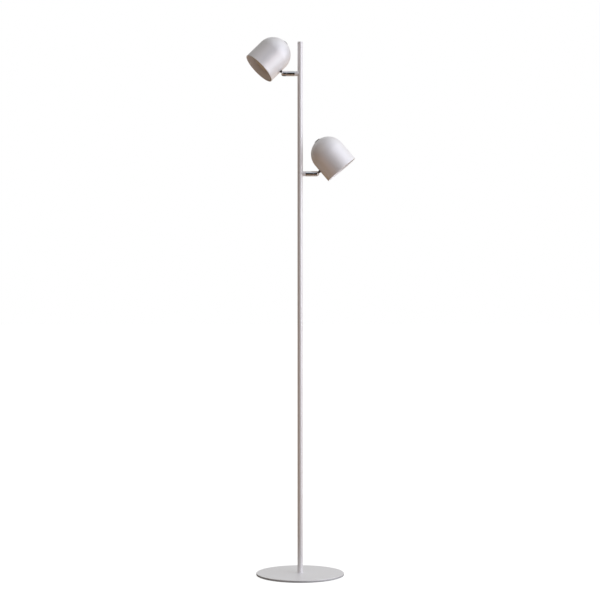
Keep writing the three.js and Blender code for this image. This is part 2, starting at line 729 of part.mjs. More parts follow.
function ledLead() {
  const top = SWITCH_LOW - SEAT_GAP;
  const drop = top - BRACKET_FOOT;
  const lane = LED_LEAD_OFFSET;
  return lead([
    [0, lane / 5, top],
    [0, lane / 4, top - drop / 4],
    [0, (3 * lane) / 4, top - drop / 2],
    [0, lane, top - (3 * drop) / 4],
    [0, lane, BRACKET_FOOT],
    [0, lane, SINK_LOW + SEAT_GAP],
  ]);
}

// ---------------------------------------------------------------- assembly

const lamp = new THREE.Group();

function addStand() {
  const baseEdge = BASE_RADIUS - PAD_INSET;
  const insertBore = FOOT_SCREW_RADIUS + BOLT_FIT;
  add(lamp, 'base_pad', disc(baseEdge, 0, PAD_THICKNESS, BASE_FACETS), FOAM);
  add(lamp, 'base_plate', basePlate(), WHITE_PAINT);
  add(lamp, 'foot_screw', footScrew(), STEEL);
  const insert = ring(insertBore, SLEEVE_RADIUS, BASE_TOP, BASE_TOP + INSERT_LENGTH, POLE_FACETS);
  add(lamp, 'foot_insert', insert, STEEL);
  add(lamp, 'pole_lower', lowerTube(), WHITE_PAINT);
  const middle = ring(POLE_BORE, POLE_RADIUS, LOWER_JOINT, UPPER_JOINT, POLE_FACETS);
  add(lamp, 'pole_middle', middle, WHITE_PAINT);
  add(lamp, 'pole_upper', upperTube(), WHITE_PAINT);
  add(lamp, 'coupler_lower', coupler(LOWER_JOINT), STEEL);
  add(lamp, 'coupler_upper', coupler(UPPER_JOINT), STEEL);
  add(lamp, 'pole_cap', poleCap(), WHITE_PAINT);
  add(lamp, 'cable_gland', cableGland(), WHITE_PLASTIC);
  add(lamp, 'pole_lead_upper', poleLead(ARMS[0], [0.6, -2.75], 1.3), LEAD_SHEATH);
  add(lamp, 'pole_lead_lower', poleLead(ARMS[1], [-0.8, 2], -1.3), LEAD_SHEATH);
}

// The pieces that hold the arm to the pole and stay still.
function addArmMount(parent, side) {
  const washerBore = NIPPLE_HOLE;
  const washerRadius = BARREL_BORE - SEAT_GAP;
  const washerEnd = SWIVEL_WASHER_START + SWIVEL_WASHER_THICKNESS;
  const washer = ring(washerBore, washerRadius, SWIVEL_WASHER_START, washerEnd, FINE_FACETS);
  const nutEnd = SWIVEL_NUT_START + SWIVEL_NUT_THICKNESS;
  const nut = hexNut(SWIVEL_NUT_FLATS, NIPPLE_HOLE, SWIVEL_NUT_START, nutEnd);
  add(parent, `boss_${side}`, boss(), WHITE_PAINT);
  add(parent, `nipple_${side}`, nipple(), STEEL);
  add(parent, `saddle_nut_${side}`, saddleNut(), STEEL);
  add(parent, `swivel_washer_${side}`, alongX(washer), STEEL);
  add(parent, `swivel_nut_${side}`, alongX(nut), STEEL);
}

function addArm(parent, side) {
  add(parent, `barrel_${side}`, barrel(), CHROME);
  add(parent, `knuckle_${side}`, knuckle(), CHROME);
  add(parent, `pivot_pin_${side}`, pivotPin(), CHROME);
  add(parent, `tilt_washer_${side}`, tiltWasher(), STEEL);
}

function addHead(parent, side) {
  add(parent, `neck_${side}`, neck(), CHROME);
  add(parent, `neck_nut_${side}`, neckNut(), STEEL);
  add(parent, `head_lead_${side}`, headLead(), LEAD_SHEATH);
  const aboutShade = addGroup(parent, SHADE_AXIS_OUT, 0, 0);
  add(aboutShade, `shade_${side}`, shade(), WHITE_PAINT);
  add(aboutShade, `retaining_ring_${side}`, retainingRing(), WHITE_PLASTIC);
  add(aboutShade, `diffuser_${side}`, diffuser(), OPAL);
  add(aboutShade, `reflector_${side}`, reflector(), WHITE_PLASTIC);
  add(aboutShade, `led_board_${side}`, ledBoard(), WHITE_PLASTIC);
  add(aboutShade, `heat_sink_${side}`, heatSink(), ALUMINIUM);
  add(aboutShade, `bracket_${side}`, bracket(), STEEL);
  add(aboutShade, `switch_body_${side}`, switchBody(), BLACK_PLASTIC);
  add(aboutShade, `switch_bezel_${side}`, switchBezel(), BLACK_PLASTIC);
  add(aboutShade, `button_${side}`, button(), BLACK_PLASTIC);
  add(aboutShade, `led_lead_${side}`, ledLead(), LEAD_SHEATH);
}

addStand();
for (const arm of ARMS) {
  const mount = addGroup(lamp, 0, 0, armHeight(arm));
  mount.rotation.z = radians(arm.heading);
  addArmMount(mount, arm.side);
  const swivel = addGroup(mount, 0, 0, 0);
  swivel.rotation.x = radians(arm.swivel);
  addArm(swivel, arm.side);
  const tilt = addGroup(swivel, PIVOT_OUT, 0, 0);
  tilt.rotation.y = -radians(arm.tilt);
  addHead(tilt, arm.side);
}

export default lamp;
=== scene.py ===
import json
import math

import bmesh
import bpy
from bpy.props import FloatProperty, FloatVectorProperty, IntProperty, PointerProperty
from mathutils import Matrix, Vector


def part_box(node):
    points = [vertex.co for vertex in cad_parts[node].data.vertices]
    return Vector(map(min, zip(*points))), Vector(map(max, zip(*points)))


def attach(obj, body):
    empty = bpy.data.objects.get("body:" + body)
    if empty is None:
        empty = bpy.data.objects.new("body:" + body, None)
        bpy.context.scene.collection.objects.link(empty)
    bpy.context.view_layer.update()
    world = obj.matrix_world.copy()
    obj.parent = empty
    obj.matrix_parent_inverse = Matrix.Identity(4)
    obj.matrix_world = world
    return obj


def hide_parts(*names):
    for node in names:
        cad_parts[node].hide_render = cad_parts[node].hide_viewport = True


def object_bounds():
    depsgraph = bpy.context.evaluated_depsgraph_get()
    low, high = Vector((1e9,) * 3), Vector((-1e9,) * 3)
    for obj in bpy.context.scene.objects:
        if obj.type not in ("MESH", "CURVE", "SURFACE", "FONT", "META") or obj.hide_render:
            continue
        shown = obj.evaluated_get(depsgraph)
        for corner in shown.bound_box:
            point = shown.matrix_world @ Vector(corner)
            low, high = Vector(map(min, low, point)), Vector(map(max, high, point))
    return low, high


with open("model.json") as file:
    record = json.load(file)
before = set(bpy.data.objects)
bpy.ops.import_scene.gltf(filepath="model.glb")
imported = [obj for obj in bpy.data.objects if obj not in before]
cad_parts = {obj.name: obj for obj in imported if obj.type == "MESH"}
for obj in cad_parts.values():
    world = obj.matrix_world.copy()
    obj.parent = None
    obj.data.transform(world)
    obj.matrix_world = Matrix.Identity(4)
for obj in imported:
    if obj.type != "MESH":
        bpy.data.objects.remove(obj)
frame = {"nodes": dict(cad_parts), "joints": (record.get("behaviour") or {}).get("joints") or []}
CAD_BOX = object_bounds()

bl_info = {
    "name": "Two-headed floor lamp",
    "version": (1, 0, 0),
    "blender": (4, 5, 0),
    "location": "3D View > Sidebar > Lamp",
    "description": "Builds the lamp's finished pieces and its studio round the loaded frame",
    "category": "Object",
}

SIDES = ("upper", "lower")

# Turning axes: a piece is turned about its own Z, which one of these lays along X or Y.
ALONG_X = Matrix(((0, 0, 1, 0), (1, 0, 0, 0), (0, 1, 0, 0), (0, 0, 0, 1)))
ALONG_Y = Matrix(((1, 0, 0, 0), (0, 0, 1, 0), (0, -1, 0, 0), (0, 0, 0, 1)))
ALONG_Z = Matrix.Identity(4)

# Height of an outline point that lies on the pole's round surface.
ON_POLE = -1.0

# Edges that turn by more than this are sharp, and are the ones to soften.
SHARP_TURN = math.radians(38)


# ---------------------------------------------------------------- settings


def length(name, description, default):
    return FloatProperty(
        name=name, description=description, default=default, min=0.0, precision=5, unit="LENGTH"
    )


def colour(name, description, default):
    return FloatVectorProperty(
        name=name, description=description, default=default, min=0.0, max=1.0, size=3, subtype="COLOR"
    )


class LampSmoothness(bpy.types.PropertyGroup):
    shade_facets: IntProperty(
        name="Shade facets", description="Facets round a shade or the base", default=144, min=24
    )
    tube_facets: IntProperty(
        name="Tube facets", description="Facets round the pole, an arm or a switch", default=72, min=16
    )
    small_facets: IntProperty(
        name="Small facets", description="Facets round a pin, a hole or a stud", default=36, min=12
    )
    dome_steps: IntProperty(
        name="Dome steps", description="Steps from a shade's wall to its top", default=28, min=6
    )


class LampStandSizes(bpy.types.PropertyGroup):
    plate_top_edge: length("Plate top edge", "Rounding of the base plate's upper edge", 0.0012)
    plate_low_edge: length("Plate low edge", "Rounding of the base plate's lower edge", 0.0005)
    screw_hole: length("Screw hole", "Radius of the hole for the foot screw", 0.0042)
    screw_seat: length("Screw seat", "Radius of the counterbore for the screw's head", 0.0088)
    screw_seat_depth: length("Screw seat depth", "Depth of the counterbore", 0.0028)
    pad_groove: length("Pad groove", "Width of the rings pressed into the foam pad", 0.0016)
    pole_wall: length("Pole wall", "Wall of the pole's tubes", 0.0012)
    tube_edge: length("Tube edge", "Rounding of each tube's ends, which makes the hairline joints", 0.00025)
    sleeve_fit: length("Sleeve fit", "Clearance round what slides into a tube", 0.00015)
    cap_edge: length("Cap edge", "Rounding of the pole cap's upper edge", 0.0006)
    cap_crown: length("Cap crown", "How far the cap's middle rises above its edge", 0.0002)
    gland_sleeve: length("Gland sleeve", "Radius of the cable gland inside the wall", 0.003)
    gland_bore: length("Gland bore", "Radius of the hole through the gland", 0.002)
    gland_edge: length("Gland edge", "Rounding of the gland's flange", 0.0007)


class LampArmSizes(bpy.types.PropertyGroup):
    nipple_hole: length("Nipple hole", "Radius of the hole for the threaded nipple", 0.0038)
    boss_edge: length("Boss edge", "Rounding of the boss's outer edge", 0.0005)
    boss_seat: length("Boss seat", "Gap between boss and pole", 0.00005)
    barrel_wall: length("Barrel wall", "Wall of the arm's barrel", 0.001)
    barrel_end_wall: length("Barrel end wall", "Wall at the barrel's end next to the boss", 0.0025)
    barrel_edge: length("Barrel edge", "Rounding of the barrel's end next to the boss", 0.0005)
    seam_edge: length("Seam edge", "Rounding at the seam between barrel and knuckle", 0.00025)
    knuckle_body: length("Knuckle body", "Length from the knuckle's shoulder to its pin", 0.008)
    knuckle_bore: length("Knuckle bore", "Radius of the lead's way through the knuckle", 0.0026)
    slot_width: length("Slot width", "Width of the knuckle's slot", 0.0053)
    slot_depth: length("Slot depth", "Depth of the slot behind the pin", 0.0065)
    pin_hole: length("Pin hole", "Radius of the hole for the pivot pin", 0.0022)
    pin_edge: length("Pin edge", "Rounding of the pin's ends", 0.00035)
    pin_socket: length("Pin socket", "Width across the flats of the socket in the pin", 0.002)
    pin_socket_depth: length("Pin socket depth", "Depth of the socket in the pin", 0.0012)
    worked_edge: length("Worked edge", "Softening of cut edges on knuckle and neck", 0.0002)
    tongue_radius: length("Tongue radius", "Radius of the neck's tongue", 0.005)
    tongue_bar: length("Tongue bar", "Width of the bar between tongue and collar", 0.0052)
    tongue_thickness: length("Tongue thickness", "Thickness of the neck's tongue", 0.004)
    tongue_gap: length("Tongue gap", "Gap between the tongue and the bare side of the slot", 0.0003)
    collar_radius: length("Collar radius", "Radius of the collar against the shade", 0.0037)
    collar_start: length("Collar start", "Distance from pin to collar", 0.0074)
    collar_end: length("Collar end", "Distance from pin to the collar's seat on the shade", 0.0102)
    stud_radius: length("Stud radius", "Radius of the stud through the shade's wall", 0.003)
    stud_bore: length("Stud bore", "Radius of the lead's way through the stud", 0.0015)
    stud_fit: length("Stud fit", "Clearance round the stud in the shade's wall", 0.00024)


class LampHeadSizes(bpy.types.PropertyGroup):
    shade_wall: length("Shade wall", "Thickness of the shade's metal", 0.001)
    rim_edge: length("Rim edge", "Rounding of the shade's mouth", 0.00045)
    apex_flat: length("Apex flat", "Radius of the flat on the dome's top", 0.0085)
    switch_hole: length("Switch hole", "Radius of the hole for the switch", 0.0064)
    ring_width: length("Ring width", "Width of the ring that holds the diffuser", 0.0026)
    ring_edge: length("Ring edge", "Rounding of that ring", 0.0004)
    diffuser_edge: length("Diffuser edge", "Rounding of the diffuser's edge", 0.0005)
    diffuser_crown: length("Diffuser crown", "How far the diffuser's face is dished", 0.0006)
    reflector_wall: length("Reflector wall", "Wall of the reflector cone", 0.0012)
    reflector_flange: length("Reflector flange", "Width of the reflector's flange", 0.0035)
    reflector_throat: length("Reflector throat", "Radius of the reflector's small end", 0.012)
    emitter_radius: length("Emitter radius", "Radius of the light-emitting disc", 0.0085)
    emitter_dam: length("Emitter dam", "Radius of the white dam round the emitter", 0.010)
    emitter_height: length("Emitter height", "Height of the dam above the board", 0.0008)
    switch_body: length("Switch body", "Radius of the switch below its shoulder", 0.0075)
    switch_shoulder_height: length("Switch shoulder", "Height of the switch's shoulder", 0.0037)
    bushing_radius: length("Bushing radius", "Radius of the switch's bushing", 0.0061)
    bushing_bore: length("Bushing bore", "Radius of the well that the button moves in", 0.0049)
    bushing_low: length("Bushing length", "Length of the bushing above the shoulder", 0.0047)
    well_floor: length("Well floor", "Space under the button, down to the well's floor", 0.0018)
    switch_edge: length("Switch edge", "Rounding of the switch's edges", 0.0003)
    bezel_edge: length("Bezel edge", "Rounding of the bezel", 0.0003)
    button_edge: length("Button edge", "Rounding of the button's top", 0.0005)
    button_dish: length("Button dish", "Depth of the dish in the button's top", 0.0003)


class LampColours(bpy.types.PropertyGroup):
    paint: colour("Paint", "White powder coat outside", (0.83, 0.818, 0.852))
    lining: colour("Lining", "Paint inside the shades", (0.88, 0.86, 0.83))
    chrome: colour("Chrome", "Plated arms", (0.74, 0.735, 0.73))
    # Painted shade: the necks' chrome is darkened to stand in for the shade and dark reflections they show.
    dark_plate: colour("Dark plate", "Dark nickel of the necks", (0.10, 0.088, 0.08))
    zinc: colour("Zinc", "Plated nuts, washers and sleeves", (0.58, 0.60, 0.62))
    aluminium: colour("Aluminium", "Cast heat sink", (0.62, 0.63, 0.64))
    black: colour("Black", "Moulded switch", (0.018, 0.017, 0.019))
    cream: colour("Cream", "Moulded reflector and rings", (0.80, 0.79, 0.76))
    opal: colour("Opal", "Diffuser", (0.86, 0.85, 0.81))
    board: colour("Board", "Coated circuit board", (0.82, 0.83, 0.82))
    phosphor: colour("Phosphor", "Light-emitting disc", (0.86, 0.66, 0.10))
    foam: colour("Foam", "Pad under the base", (0.030, 0.030, 0.032))
    rubber: colour("Rubber", "Cable gland", (0.72, 0.71, 0.69))
    sheath: colour("Sheath", "Leads inside the lamp", (0.70, 0.70, 0.69))


class LampStage(bpy.types.PropertyGroup):
    camera_distance: length("Camera distance", "From the pole to the camera", 4.011)
    camera_height: length("Camera height", "From the floor to the camera", 0.722)
    camera_side: FloatProperty(
        name="Camera side", description="Camera's place across the view", default=-0.0005, unit="LENGTH"
    )
    camera_lens: FloatProperty(
        name="Lens", description="Focal length on a 36 mm sensor, in mm", default=91.65, min=10.0
    )
    softbox_power: FloatProperty(
        name="Softbox power", description="Power of each softbox, scaled by its share",
        default=60.0, unit="POWER",
    )
    high_behind: colour("High behind", "Glow from high behind", (0.31, 0.317, 0.303))
    low_behind: colour("Low behind", "Glow from low behind", (0.317, 0.309, 0.289))
    behind_right: colour("Behind right", "Glow from high behind at the right", (0.168, 0.164, 0.179))
    high_left: colour("High left", "Glow from high in front at the left", (0.328, 0.326, 0.308))
    low_left: colour("Low left", "Warm glow from low in front at the left", (0.20, 0.135, 0.095))
    high_front: colour("High front", "Glow from high in front at the right", (0.262, 0.311, 0.40))
    high_right: colour("High right", "Glow from high at the right", (0.53, 0.50, 0.435))
    right_side: colour("Right side", "Glow from the right, level with the lamp", (0.42, 0.42, 0.46))
    dark_front: FloatProperty(
        name="Dark front", description="Share of the glow that is left round the camera", default=0.12
    )
    near_floor: colour("Near floor", "What the floor in front throws back", (0.40, 0.25, 0.165))
    front_right_floor: colour(
        "Front right floor", "What the floor in front at the right throws back", (0.88, 0.88, 0.93)
    )
    left_floor: colour("Left floor", "What the floor at the left throws back", (0.25, 0.155, 0.066))
    right_floor: colour("Right floor", "What the floor at the right throws back", (0.802, 0.678, 0.581))


SETTINGS = {
    "lamp_smoothness": LampSmoothness,
    "lamp_stand": LampStandSizes,
    "lamp_arm": LampArmSizes,
    "lamp_head": LampHeadSizes,
    "lamp_colours": LampColours,
    "lamp_stage": LampStage,
}


# ---------------------------------------------------------------- places in the frame


def joint_named(name):
    return next(joint for joint in frame["joints"] if joint["name"] == name)


def axes_at(origin, along, across):
    """Axes with X along the first direction and Y along the second."""
    x = Vector(along).normalized()
    y = Vector(across).normalized()
    z = x.cross(y)
    turn = Matrix((x, y, z)).transposed().to_4x4()
    return Matrix.Translation(Vector(origin)) @ turn


def arm_place(side):
    """On the pole's axis at the arm's height, X along the arm, Y along the tilt pin."""
    swivel = joint_named(f"swivel_{side}")
    tilt = joint_named(f"tilt_{side}")
    return axes_at(swivel["pos_m"], swivel["axis"], -Vector(tilt["axis"]))


def mount_place(side):
    """As the arm's place, with Y level, for what is fixed to the pole."""
    swivel = joint_named(f"swivel_{side}")
    along = Vector(swivel["axis"])
    return axes_at(swivel["pos_m"], along, Vector((0, 0, 1)).cross(along))


def neck_place(side):
    """At the tilt pin, X along the neck, Z along the shade's axis to its dome."""
    tilt = joint_named(f"tilt_{side}")
    across = -Vector(tilt["axis"])
    dome = -Vector(joint_named(f"press_{side}")["axis"])
    return axes_at(tilt["pos_m"], across.cross(dome), across)


def extent(node, place):
    """Lowest and highest corner of a CAD node, measured along the axes of a place."""
    to_place = place.inverted()
    points = [to_place @ vertex.co for vertex in frame["nodes"][node].data.vertices]
    low = Vector([min(point[axis] for point in points) for axis in range(3)])
    high = Vector([max(point[axis] for point in points) for axis in range(3)])
    return low, high


def head_place(side):
    """On the shade's axis, level with the neck, Z to the dome."""
    place = neck_place(side)
    low, high = extent(f"shade_{side}", place)
    return place @ Matrix.Translation(((low.x + high.x) / 2, 0, 0))


def radius_and_heights(node, place):
    """Radius, lowest and highest point of a CAD node turned about the Z of a place."""
    low, high = extent(node, place)
    return (high.x - low.x) / 2, low.z, high.z


# ---------------------------------------------------------------- turning and cutting


def eased(corners, steps=4):
    """Outline points from corners of (radius, height) or (radius, height, rounding)."""
    points = []
    for index, corner in enumerate(corners):
        here = Vector(corner[:2])
        rounding = corner[2] if len(corner) > 2 else 0.0
        if not rounding:
            points.append(tuple(here))
            continue
        to_before = (Vector(corners[index - 1][:2]) - here).normalized()
        to_after = (Vector(corners[(index + 1) % len(corners)][:2]) - here).normalized()
        half = to_before.angle(to_after) / 2
        centre = here + (to_before + to_after).normalized() * (rounding / math.sin(half))
        start = here + to_before * (rounding / math.tan(half)) - centre
        end = here + to_after * (rounding / math.tan(half)) - centre
        for step in range(steps + 1):
            spoke = start.lerp(end, step / steps).normalized() * rounding
            points.append(tuple(centre + spoke))
    return points


def arc(centre_height, radius, start, end, steps):
    """Outline points of an arc about a point on the turning axis, in radians from level."""
    angles = [start + (end - start) * step / steps for step in range(steps + 1)]
    return [(radius * math.cos(angle), centre_height + radius * math.sin(angle)) for angle in angles]


def pole_surface(radius, angle):
    """Distance from the pole's axis to its surface, at a point of a ring round an arm."""
    sizes = bpy.context.scene.lamp_arm
    reach = pole_radius() + sizes.boss_seat
    return math.sqrt(reach**2 - (radius * math.cos(angle)) ** 2)


def pole_radius():
    low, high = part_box("pole_middle")
    return (high.x - low.x) / 2


def turned(outline, facets, closed=True, zone_of=None):
    """A mesh turned about Z from an outline that is closed, or open from axis to axis.
    zone_of gives the material number of the wall between two outline points."""
    build = bmesh.new()
    rings = []
    for radius, height in outline:
        if radius < 1e-6:
            rings.append([build.verts.new((0, 0, height))])
            continue
        ring = []
        for facet in range(facets):
            angle = 2 * math.pi * facet / facets
            level = pole_surface(radius, angle) if height == ON_POLE else height
            ring.append(build.verts.new((radius * math.cos(angle), radius * math.sin(angle), level)))
        rings.append(ring)
    following = rings[1:] + rings[:1] if closed else rings[1:]
    for number, (ring, after) in enumerate(zip(rings, following)):
        for facet in range(facets):
            beside = (facet + 1) % facets
            corners = dict.fromkeys((
                ring[facet % len(ring)],
                ring[beside % len(ring)],
                after[beside % len(after)],
                after[facet % len(after)],
            ))
            if len(corners) < 3:
                continue
            face = build.faces.new(list(corners))
            face.material_index = zone_of(number) if zone_of else 0
    return mesh_from(build)


def mesh_from(build):
    """Turns finished mesh edits into a smooth-shaded mesh with its faces turned outwards."""
    bmesh.ops.recalc_face_normals(build, faces=build.faces)
    for face in build.faces:
        face.smooth = True
    mesh = bpy.data.meshes.new("shape")
    build.to_mesh(mesh)
    build.free()
    return mesh


def block(low, high):
    build = bmesh.new()
    bmesh.ops.create_cube(build, size=1.0)
    size = Vector(high) - Vector(low)
    centre = (Vector(high) + Vector(low)) / 2
    for vertex in build.verts:
        vertex.co = Vector([vertex.co[axis] * size[axis] + centre[axis] for axis in range(3)])
    return mesh_from(build)


def rod(radius, low, high, facets):
    return turned([(0, low), (radius, low), (radius, high), (0, high)], facets, closed=False)


def laid(mesh, lay):
    mesh.transform(lay)
    return mesh


def worked(mesh, operation, *tools):
    """The mesh after each tool mesh is cut from it, or joined to it."""
    body = bpy.data.objects.new("blank", mesh)
    bpy.context.scene.collection.objects.link(body)
    helpers = []
    for tool in tools:
        helper = bpy.data.objects.new("tool", tool)
        bpy.context.scene.collection.objects.link(helper)
        helpers.append(helper)
        step = body.modifiers.new("work", "BOOLEAN")
        step.operation = operation
        step.solver = "EXACT"
        step.object = helper
    shaped = bpy.data.meshes.new_from_object(body.evaluated_get(bpy.context.evaluated_depsgraph_get()))
    for spare in [body, *helpers]:
        bpy.data.objects.remove(spare)
    return shaped


def cut(mesh, *tools):
    return worked(mesh, "DIFFERENCE", *tools)


def joined(mesh, *others):
    return worked(mesh, "UNION", *others)


def add_piece(name, mesh, place, body, finishes, nodes=None, soften=0.0):
    """Puts a piece in its place on a body, in the stead of the CAD nodes it refines."""
    mesh.name = name
    piece = bpy.data.objects.new(name, mesh)
    bpy.context.scene.collection.objects.link(piece)
    piece.matrix_world = place
    mesh.materials.clear()
    for finish in finishes:
        mesh.materials.append(finish)
    mesh.set_sharp_from_angle(angle=SHARP_TURN)
    if soften:
        edges = piece.modifiers.new("Worked edges", "BEVEL")
        edges.width = soften
        edges.segments = 2
        edges.limit_method = "ANGLE"
        edges.angle_limit = SHARP_TURN
        edges.harden_normals = True
    normals = piece.modifiers.new("Even shading", "WEIGHTED_NORMAL")
    normals.keep_sharp = True
    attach(piece, body)
    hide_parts(*(nodes or [name]))
    return piece


# ---------------------------------------------------------------- effects shared by finishes


def new_effect(name, inputs, outputs):
    """An empty shader node group with the given sockets: (name, kind, default)."""
    group = bpy.data.node_groups.new(name, "ShaderNodeTree")
    for socket_name, kind, default in inputs:
        socket = group.interface.new_socket(socket_name, in_out="INPUT", socket_type=kind)
        socket.default_value = default
    for socket_name, kind in outputs:
        group.interface.new_socket(socket_name, in_out="OUTPUT", socket_type=kind)
    start = group.nodes.new("NodeGroupInput")
    end = group.nodes.new("NodeGroupOutput")
    return group, start.outputs, end.inputs


def add_node(tree, kind, values=None, **settings):
    """A node with its settings and the values of its inputs, by name or number."""
    made = tree.nodes.new(kind)
    for key, value in settings.items():
        setattr(made, key, value)
    for key, value in (values or {}).items():
        if isinstance(value, bpy.types.NodeSocket):
            tree.links.new(value, made.inputs[key])
        else:
            made.inputs[key].default_value = value
    return made


def math_step(tree, operation, first, second=0.0, third=0.0):
    made = add_node(tree, "ShaderNodeMath", {0: first, 1: second, 2: third}, operation=operation)
    return made.outputs[0]


def surface_point(tree):
    return add_node(tree, "ShaderNodeTexCoord").outputs["Object"]


def patchy_tone():
    """Colour that drifts a little lighter and darker over soft patches."""
    group, given, made = new_effect(
        "Patchy tone",
        [
            ("Color", "NodeSocketColor", (0.8, 0.8, 0.8, 1)),
            ("Change", "NodeSocketFloat", 0.03),
            ("Patch Size", "NodeSocketFloat", 0.05),
        ],
        [("Color", "NodeSocketColor"), ("Patches", "NodeSocketFloat")],
    )
    scale = math_step(group, "DIVIDE", 1.0, given["Patch Size"])
    cloud = add_node(
        group, "ShaderNodeTexNoise", {"Vector": surface_point(group), "Scale": scale, "Detail": 3.0}
    )
    swing = math_step(group, "MULTIPLY_ADD", cloud.outputs["Fac"], 2.0, -1.0)
    gain = math_step(group, "MULTIPLY_ADD", swing, given["Change"], 1.0)
    tone = add_node(group, "ShaderNodeVectorMath", {0: given["Color"], "Scale": gain}, operation="SCALE")
    group.links.new(tone.outputs[0], made["Color"])
    group.links.new(cloud.outputs["Fac"], made["Patches"])
    return group


def fine_grain():
    """Small rounded bumps, from the skin of an orange to the stipple of a mould."""
    group, given, made = new_effect(
        "Fine grain",
        [
            ("Grain Size", "NodeSocketFloat", 0.001),
            ("Cells", "NodeSocketFloat", 0.5),
            ("Roughness", "NodeSocketFloat", 0.5),
            ("Roughness Change", "NodeSocketFloat", 0.1),
        ],
        [("Height", "NodeSocketFloat"), ("Roughness", "NodeSocketFloat")],
    )
    scale = math_step(group, "DIVIDE", 1.0, given["Grain Size"])
    point = surface_point(group)
    soft = add_node(group, "ShaderNodeTexNoise", {"Vector": point, "Scale": scale, "Detail": 2.0})
    cells = add_node(
        group, "ShaderNodeTexVoronoi", {"Vector": point, "Scale": scale, "Smoothness": 0.8},
        feature="SMOOTH_F1",
    )
    height = add_node(
        group, "ShaderNodeMix",
        {0: given["Cells"], 2: soft.outputs["Fac"], 3: cells.outputs["Distance"]},
    )
    swing = math_step(group, "SUBTRACT", height.outputs[0], 0.5)
    rough = math_step(group, "MULTIPLY_ADD", swing, given["Roughness Change"], given["Roughness"])
    group.links.new(height.outputs[0], made["Height"])
    group.links.new(rough, made["Roughness"])
    return group


def hairline_scratches():
    """Sparse fine lines that cross each other, as handling leaves on metal."""
    group, given, made = new_effect(
        "Hairline scratches",
        [
            ("Length", "NodeSocketFloat", 0.012),
            ("Fineness", "NodeSocketFloat", 0.0006),
            ("Amount", "NodeSocketFloat", 0.5),
        ],
        [("Lines", "NodeSocketFloat")],
    )
    long_scale = math_step(group, "DIVIDE", 1.0, given["Length"])
    fine_scale = math_step(group, "DIVIDE", 1.0, given["Fineness"])
    stretch = add_node(
        group, "ShaderNodeCombineXYZ", {"X": long_scale, "Y": fine_scale, "Z": fine_scale}
    )
    point = surface_point(group)
    lines = []
    for spin in ((0.3, 0.5, 0.2), (1.4, 0.2, 1.1)):
        turned_point = add_node(
            group, "ShaderNodeVectorRotate", {"Vector": point, "Rotation": spin},
            rotation_type="EULER_XYZ",
        )
        stretched = add_node(
            group, "ShaderNodeVectorMath",
            {0: turned_point.outputs[0], 1: stretch.outputs[0]},
            operation="MULTIPLY",
        )
        streak = add_node(
            group, "ShaderNodeTexNoise", {"Vector": stretched.outputs[0], "Scale": 1.0, "Detail": 1.0}
        )
        sharp = add_node(
            group, "ShaderNodeMapRange",
            {"Value": streak.outputs["Fac"], "From Min": 0.66, "From Max": 0.74},
        )
        lines.append(sharp.outputs["Result"])
    both = math_step(group, "MAXIMUM", lines[0], lines[1])
    amount = math_step(group, "MULTIPLY", both, given["Amount"])
    group.links.new(amount, made["Lines"])
    return group


def turned_rings():
    """Faint rings about the turning axis, as a lathe or a polishing wheel leaves."""
    group, given, made = new_effect(
        "Turned rings",
        [("Spacing", "NodeSocketFloat", 0.0008)],
        [("Rings", "NodeSocketFloat")],
    )
    parts = add_node(group, "ShaderNodeSeparateXYZ", {"Vector": surface_point(group)})
    across = math_step(group, "POWER", parts.outputs["X"], 2.0)
    deep = math_step(group, "POWER", parts.outputs["Y"], 2.0)
    radius = math_step(group, "SQRT", math_step(group, "ADD", across, deep))
    travel = math_step(group, "ADD", radius, parts.outputs["Z"])
    count = math_step(group, "DIVIDE", travel, given["Spacing"])
    wander = add_node(group, "ShaderNodeTexNoise", {"W": count, "Scale": 1.0}, noise_dimensions="1D")
    group.links.new(wander.outputs["Fac"], made["Rings"])
    return group


EFFECTS = {
    "Patchy tone": patchy_tone,
    "Fine grain": fine_grain,
    "Hairline scratches": hairline_scratches,
    "Turned rings": turned_rings,
}


def place_effect(tree, name, **values):
    """Puts a shared effect in a material with its own values."""
    group = bpy.data.node_groups.get(name) or EFFECTS[name]()
    made = tree.nodes.new("ShaderNodeGroup")
    made.node_tree = group
    for key, value in values.items():
        socket = made.inputs[key.replace("_", " ").title()]
        socket.default_value = (*value, 1.0) if socket.type == "RGBA" else value
    return made.outputs


# ---------------------------------------------------------------- finishes


def new_finish(name, roughness, **constants):
    """A material with its shader's plain values set. Gives material, node tree and shader."""
    material = bpy.data.materials.new(name)
    material.use_nodes = True
    shader = material.node_tree.nodes["Principled BSDF"]
    shader.inputs["Roughness"].default_value = roughness
    for key, value in constants.items():
        shader.inputs[key.replace("_", " ").title().replace("Ior", "IOR")].default_value = value
    return material, material.node_tree, shader


def raise_surface(tree, shader, height, depth):
    """Feeds a height over the surface to the shader's normal. The depth is in metres."""
    bump = add_node(tree, "ShaderNodeBump", {"Height": height, "Distance": depth, "Strength": 1.0})
    tree.links.new(bump.outputs["Normal"], shader.inputs["Normal"])
    return bump


PAINT_ROUGHNESS = 0.92


def powder_coat(name, paint, grain_size, depth):
    material, tree, shader = new_finish(name, PAINT_ROUGHNESS, specular_ior_level=0.1)
    tone = place_effect(tree, "Patchy tone", color=paint, change=0.012, patch_size=0.06)
    grain = place_effect(
        tree, "Fine grain",
        grain_size=grain_size, cells=0.6, roughness=PAINT_ROUGHNESS, roughness_change=0.14,
    )
    tree.links.new(tone["Color"], shader.inputs["Base Color"])
    tree.links.new(grain["Roughness"], shader.inputs["Roughness"])
    raise_surface(tree, shader, grain["Height"], depth)
    return material


def white_paint():
    paint = bpy.context.scene.lamp_colours.paint
    return powder_coat("White powder coat", paint, grain_size=0.0009, depth=0.00003)


def lining_paint():
    lining = bpy.context.scene.lamp_colours.lining
    return powder_coat("Shade lining", lining, grain_size=0.0012, depth=0.00002)


